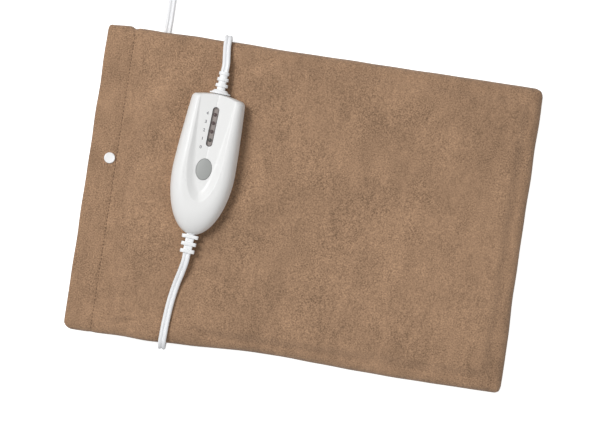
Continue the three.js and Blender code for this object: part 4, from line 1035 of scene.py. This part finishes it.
# Plan of the panel: corners rounded, borders a little uneven, hem end wider than the rest
def planOf(x, y):
    px, py = x.copy(), y.copy()
    for sx, sy, *radii in corners:
        rx, ry = inMetres(radii)
        a = clip((sx * x - (halfLong - rx)) / rx, 0, 1)
        b = clip((sy * y - (halfWide - ry)) / ry, 0, 1)
        inCorner = (a > 0) & (b > 0)
        px = where(inCorner, sx * (halfLong - rx + rx * a * sqrt(1 - b * b / 2)), px)
        py = where(inCorner, sy * (halfWide - ry + ry * b * sqrt(1 - a * a / 2)), py)
    atEnd, atSide = ((1 - ease((half - np.abs(along)) / plan["near"])) * np.sign(along)
                     for half, along in ((halfLong, x), (halfWide, y)))
    hemEnd = ease((hem["line"] - x) / plan["hemRun"])
    drop = ease((hem["line"] - plan["dropFrom"] - x) / plan["dropRun"])
    notch = bell(x - hem["line"], plan["notchWide"])
    bulge = plan["bulge"] * ease((-y - plan["bulgeFrom"]) / plan["bulgeRun"])
    draw = plan["draw"] * bell(x - plan["drawAt"], plan["drawWide"])
    px += atEnd * (waves(x * 0, y, *folds["side"]) + where(x > 0, bulge, 0))
    py += atSide * (waves(x, y * 0, *folds["along"])
                    + where(y > 0, plan["hemOut"] * hemEnd - plan["drop"] * drop - plan["notch"] * notch,
                            -plan["lowNotch"] * notch - draw))
    return px, py


# Folds pressed into the front: broad drape, small wrinkles near the lower seam, a few creases, puckers at
# the stitches
def surfaceFolds(x, y):
    wide = pucker["wide"]
    calm = 1 - maximum(patch(x, y, *patches["control"]), patch(x, y, *patches["padLead"]))
    border = minimum(halfLong - np.abs(x), halfWide - np.abs(y))
    edge = ease((border - pucker["edgeFrom"]) / pucker["edgeRun"])
    broad = maximum(waves(x, y, *folds["broad"]), pucker["deepest"])
    low = patch(x, y, *patches["low"]) * waves(x, y, *folds["low"])
    atHem = bell(x - hem["line"], wide) * waves(x * 0, y, *folds["hem"])
    atSeam = bell(halfWide - np.abs(y), wide) * waves(x, y, *folds["seam"])
    atEnd = bell(halfLong - x, wide) * waves(x, y, *folds["end"])
    crease = np.zeros_like(x)
    for start, end, *section in creases:
        (x0, y0), (x1, y1), (depth, width) = inMetres(start), inMetres(end), inMetres(section)
        share = clip(((x - x0) * (x1 - x0) + (y - y0) * (y1 - y0)) / ((x1 - x0) ** 2 + (y1 - y0) ** 2), 0, 1)
        crease -= depth * bell(hypot(x - x0 - share * (x1 - x0), y - y0 - share * (y1 - y0)), width)
    return calm * (edge * (broad + waves(x, y, *folds["small"])) + low + crease + atSeam + atEnd) + atHem


# Grid over the cover with its finer steps at the borders and the hem line
def panelGrid(wide):
    lines = []
    for half, further, more in ((halfLong, fine["x"], [(hem["line"], fine["hem"])]),
                                (halfWide, fine["y"], [])):
        zones = [(end, zone) for end in (-half, half) for zone in (fine["border"], further)]
        lines.append(spacedLine(half, wide, zones + more))
    return np.meshgrid(*lines)


# Outer and inner skin over one grid, closed by a quarter circle at the borders. The inner is one fabric
# inside the outer, and further in where the hem is double
def coverPanel(name, front):
    x, y = panelGrid(panel["frontGrid" if front else "backGrid"])
    low = backLow(x, y)
    toSide = halfWide - np.abs(y)
    layers = (hem["extra"] * ease((toSide - hem["extraIn"]) / hem["extraRun"])
              * ease((hem["line"] - x) / hem["extraEdge"]))
    pressed = panel["groove"] * bell(x - hem["line"], panel["grooveWide"])
    if front:
        outside = low + 2 * cover["fabric"] + roomAt(x, y)
        inside = outside - cover["fabric"] - layers
        band = hem["band"] * ease((hem["line"] - x) / hem["bandRun"]) * ease(toSide / hem["bandSide"])
        outside = outside + surfaceFolds(x, y) + band - pressed
    else:
        inside = low + cover["fabric"] + layers
        fromSnap = hypot(x - snap["x"], y - snap["y"])
        flange = snap["flange"] * (1 - ease((fromSnap - snap["flangeWide"]) / snap["flangeRun"]))
        ripple = waves(x, y, *folds["back"]) * ease((low - pucker["backFrom"]) / pucker["backRun"])
        outside = low + pressed + flange + ripple
    fromOpen, fromSeam = x + halfLong, minimum(halfLong - x, toSide)
    openEdge = ease((toSide - fromOpen) / panel["openRun"]) * (fromOpen < fromSeam)
    seam = low + panel["seam"]
    start = seam + ((outside + inside) / 2 - seam) * openEdge
    outside = start + (outside - start) * quarterRise(minimum(fromOpen, fromSeam) / panel["curl"])
    inside = maximum(inside, start) if front else minimum(inside, start)
    px, py = planOf(x, y)
    qx, qy = planOf(*(line * (half - panel["seatedInset"]) / half
                      for line, half in ((x, halfLong), (y, halfWide))))
    rows, columns = x.shape
    count = rows * columns
    points = concatenate([pointsFrom(*sheet).reshape(-1, 3)
                          for sheet in ((px, py, outside), (qx, qy, inside))])
    up, down = gridFaces(rows, columns), gridFaces(rows, columns, start=count)
    order = arange(count).reshape(rows, columns)
    loop = concatenate([order[0, :-1], order[:-1, -1], order[-1, :0:-1], order[:0:-1, 0]])
    after = np.roll(loop, -1)
    rim = pointsFrom(loop, loop + count, after + count, after).tolist()
    faces = up + turned(down) + rim
    return linkMesh(name, points, faces if front else turned(faces))


# Stitches: short rounded runs of thread along the hem line, a little sunk in the groove; their dark colour is
# painted shade of the stitch holes, the thread itself being the cloth's colour
def stitchRow(name, height, side):
    sides, rows = stitch["sides"], stitch["rows"]
    angle, along = circle(sides), linspace(-1, 1, rows)
    thick = stitch["thick"] / 2 * sqrt(clip(stitch["full"] - along ** 2, stitch["least"], 1))
    points, faces = [], []
    for spot in arange(-halfWide + stitch["inset"], halfWide - stitch["inset"], stitch["pitch"]):
        z = height(array(hem["line"]), array(spot)) - side * stitch["sunk"] * along ** 2
        start = len(points) * rows * sides
        points.append(pointsFrom(hem["line"] + thick[:, None] * cos(angle),
                                 (spot + along * stitch["long"] / 2)[:, None],
                                 z[:, None] + thick[:, None] * sin(angle)).reshape(-1, 3))
        faces += turned(gridFaces(rows, sides, closed=True, start=start))
        last = start + (rows - 1) * sides
        faces += [[start + k for k in range(sides)], [last + k for k in reversed(range(sides))]]
    return linkMesh(name, concatenate(points), faces)


# Heights of the two outsides along the hem line, where the stitches lie
def frontSkin(x, y):
    return (backLow(x, y) + 2 * cover["fabric"] + roomAt(x, y) + surfaceFolds(x, y) - panel["groove"]
            + stitch["out"])


def backSkin(x, y):
    return backLow(x, y) + panel["groove"] - stitch["out"]


coverFront = finishPiece(coverPanel("coverFront", True), "plush", ("cover_front", "front_hem"))
coverBack = finishPiece(coverPanel("coverBack", False), "plushBack", ("cover_back", "back_hem"))
# The stitches' dark thread colour is painted shade of the stitch holes
finishPiece(stitchRow("frontStitches", frontSkin, 1), "threadPaintedShade")
finishPiece(stitchRow("backStitches", backSkin, -1), "threadPaintedShade")
print("cover made", len(coverFront.data.polygons), len(coverBack.data.polygons))


# Snap cap: low disc with a rounded edge and a faint dish
def snapCap():
    radius, low, high, edge = snap["radius"], snap["low"], snap["high"], snap["edge"]
    a = linspace(0, pi / 2, 8)
    profile = [(snap["post"], low - snap["postTall"]), (snap["post"], low), (radius - snap["foot"], low),
               (radius, low + snap["footTall"]),
               *zip(radius - edge + edge * cos(a), high - edge + edge * sin(a)),
               *((radius * share, high - snap["dish"] * (1 - share ** 2))
                 for share in (0.75, 0.6, 0.4, 0.2, 0.01))]
    cap = sharpen(turnedPiece("snapCap", profile, 56), 50)
    return placed(cap, Matrix.Translation((snap["x"], snap["y"], 0)))


finishPiece(snapCap(), "snapWhite", ("snap_cap",))

# Outlet under the cover: rounded flat moulding with a neck up through the back panel
outlet = lengths(x=36, y=77.25, long=32, wide=15, corner=4, edge=0.7, bottom=0.3, top=4.3)
neck = lengths(x=32, y=77.25, long=12, wide=9, corner=0.8, bottom=4.1, top=9.4)


# Plan of a block with round corners, drawn in by an inset
def blockRing(part, inset):
    half = array([part["long"], part["wide"]]) / 2 - part["corner"]
    ring = []
    for turn, sx, sy in ((0, 1, 1), (1, -1, 1), (2, -1, -1), (3, 1, -1)):
        a = pi / 2 * (turn + linspace(0, 1, 9))
        ring.append(half * (sx, sy) + (part["corner"] - inset) * pointsFrom(cos(a), sin(a)))
    return concatenate(ring) + (part["x"], part["y"])


# Block whose lower and upper edges are quarter circles
def outletBoot():
    edge, turns = outlet["edge"], pi / 2 * arange(5) / 4
    levels = [(blockRing(outlet, edge * (1 - sin(a))), outlet["bottom"] + edge * (1 - cos(a))) for a in turns]
    levels += [(blockRing(outlet, edge * (1 - cos(a))), outlet["top"] - edge * (1 - sin(a))) for a in turns]
    return sharpen(stackRings("outletBoot", levels), 50)


finishPiece(outletBoot(), "reliefWhite", ("pad_lead_outlet",))
neckLevels = [(blockRing(neck, 0), neck[end]) for end in ("bottom", "top")]
finishPiece(sharpen(stackRings("outletNeck", neckLevels), 50), "reliefWhite")
print("snap and outlet made")

# Finishes of the solids that stay as they are
kept = dict(
    vinylSheet=("inner_pad_lower_skin", "inner_pad_upper_skin"), felt=("lower_felt", "upper_felt"),
    redLens=("heating_wire",), ceramic=("thermostat_1", "thermostat_2", "junction_block", "power_resistor"),
    snapWhite=("snap_socket", "snap_stud", "snap_post"), reliefWhite=("switch_plunger",),
    boardGreen=("circuit_board",), blackCase=("switch_body", "microcontroller", "triac"),
    filmYellow=("dropper_capacitor",), canBlue=("smoothing_capacitor",),
    bladeBrass=("fuse", "plug_blade_wide", "plug_blade_narrow"),
    copperStrand=("mains_core_1", "mains_core_2", "pad_core_1", "pad_core_2"))
for material, names in kept.items():
    for name in names:
        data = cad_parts[name].data
        data.materials.clear()
        data.materials.append(paints[material])
print("solids dressed")

# Floor, lamps and surroundings: place, size and power of each lamp
stage = dict(size=6.0, top=-0.2 * mm, grey=0.8, glow=0.78, world=0.26, aim=(-0.03, 0.0, 0.0),
             lamps=dict(keyLamp=((-1.6, 0.88, 2.8), 1.1, 78.5), fillLamp=((1.3, -0.8, 1.1), 1.6, 6)))


# Pale floor that glows a little for the camera alone
def makeStage():
    half = stage["size"] / 2
    square = [(sx * half, sy * half, stage["top"]) for sx, sy in ((-1, -1), (1, -1), (1, 1), (-1, 1))]
    floor = linkMesh("floor", square, [(0, 1, 2, 3)], smooth=False)
    material = bpy.data.materials.new("paleFloor")
    material.use_nodes = True
    tree = material.node_tree
    shader = tree.nodes["Principled BSDF"]
    setInputs(shader, {"Base Color": (stage["grey"], stage["grey"], stage["grey"], 1), "Roughness": 0.9,
                       "Specular IOR Level": 0.1, "Emission Color": (1, 1, 1, 1)})
    path = addNode(tree, "ShaderNodeLightPath")
    seen = mathNode(tree, "MULTIPLY", path.outputs["Is Camera Ray"], stage["glow"])
    tree.links.new(seen, shader.inputs["Emission Strength"])
    floor.data.materials.append(material)


# Square lamps aimed at the pad, and an even white world
def makeLight():
    for name, (place, size, power) in stage["lamps"].items():
        data = bpy.data.lights.new(name, "AREA")
        data.shape = "SQUARE"
        data.size = size
        data.energy = power
        lamp = linkObject(name, data)
        lamp.location = place
        lamp.rotation_euler = (Vector(stage["aim"]) - Vector(place)).to_track_quat("-Z", "Y").to_euler()
    world = bpy.data.worlds.new("studio")
    world.use_nodes = True
    setInputs(world.node_tree.nodes["Background"], {"Color": (1, 1, 1, 1), "Strength": stage["world"]})
    bpy.context.scene.world = world
    bpy.context.scene.view_settings.view_transform = "Standard"


makeStage()
makeLight()
print("stage and light set")
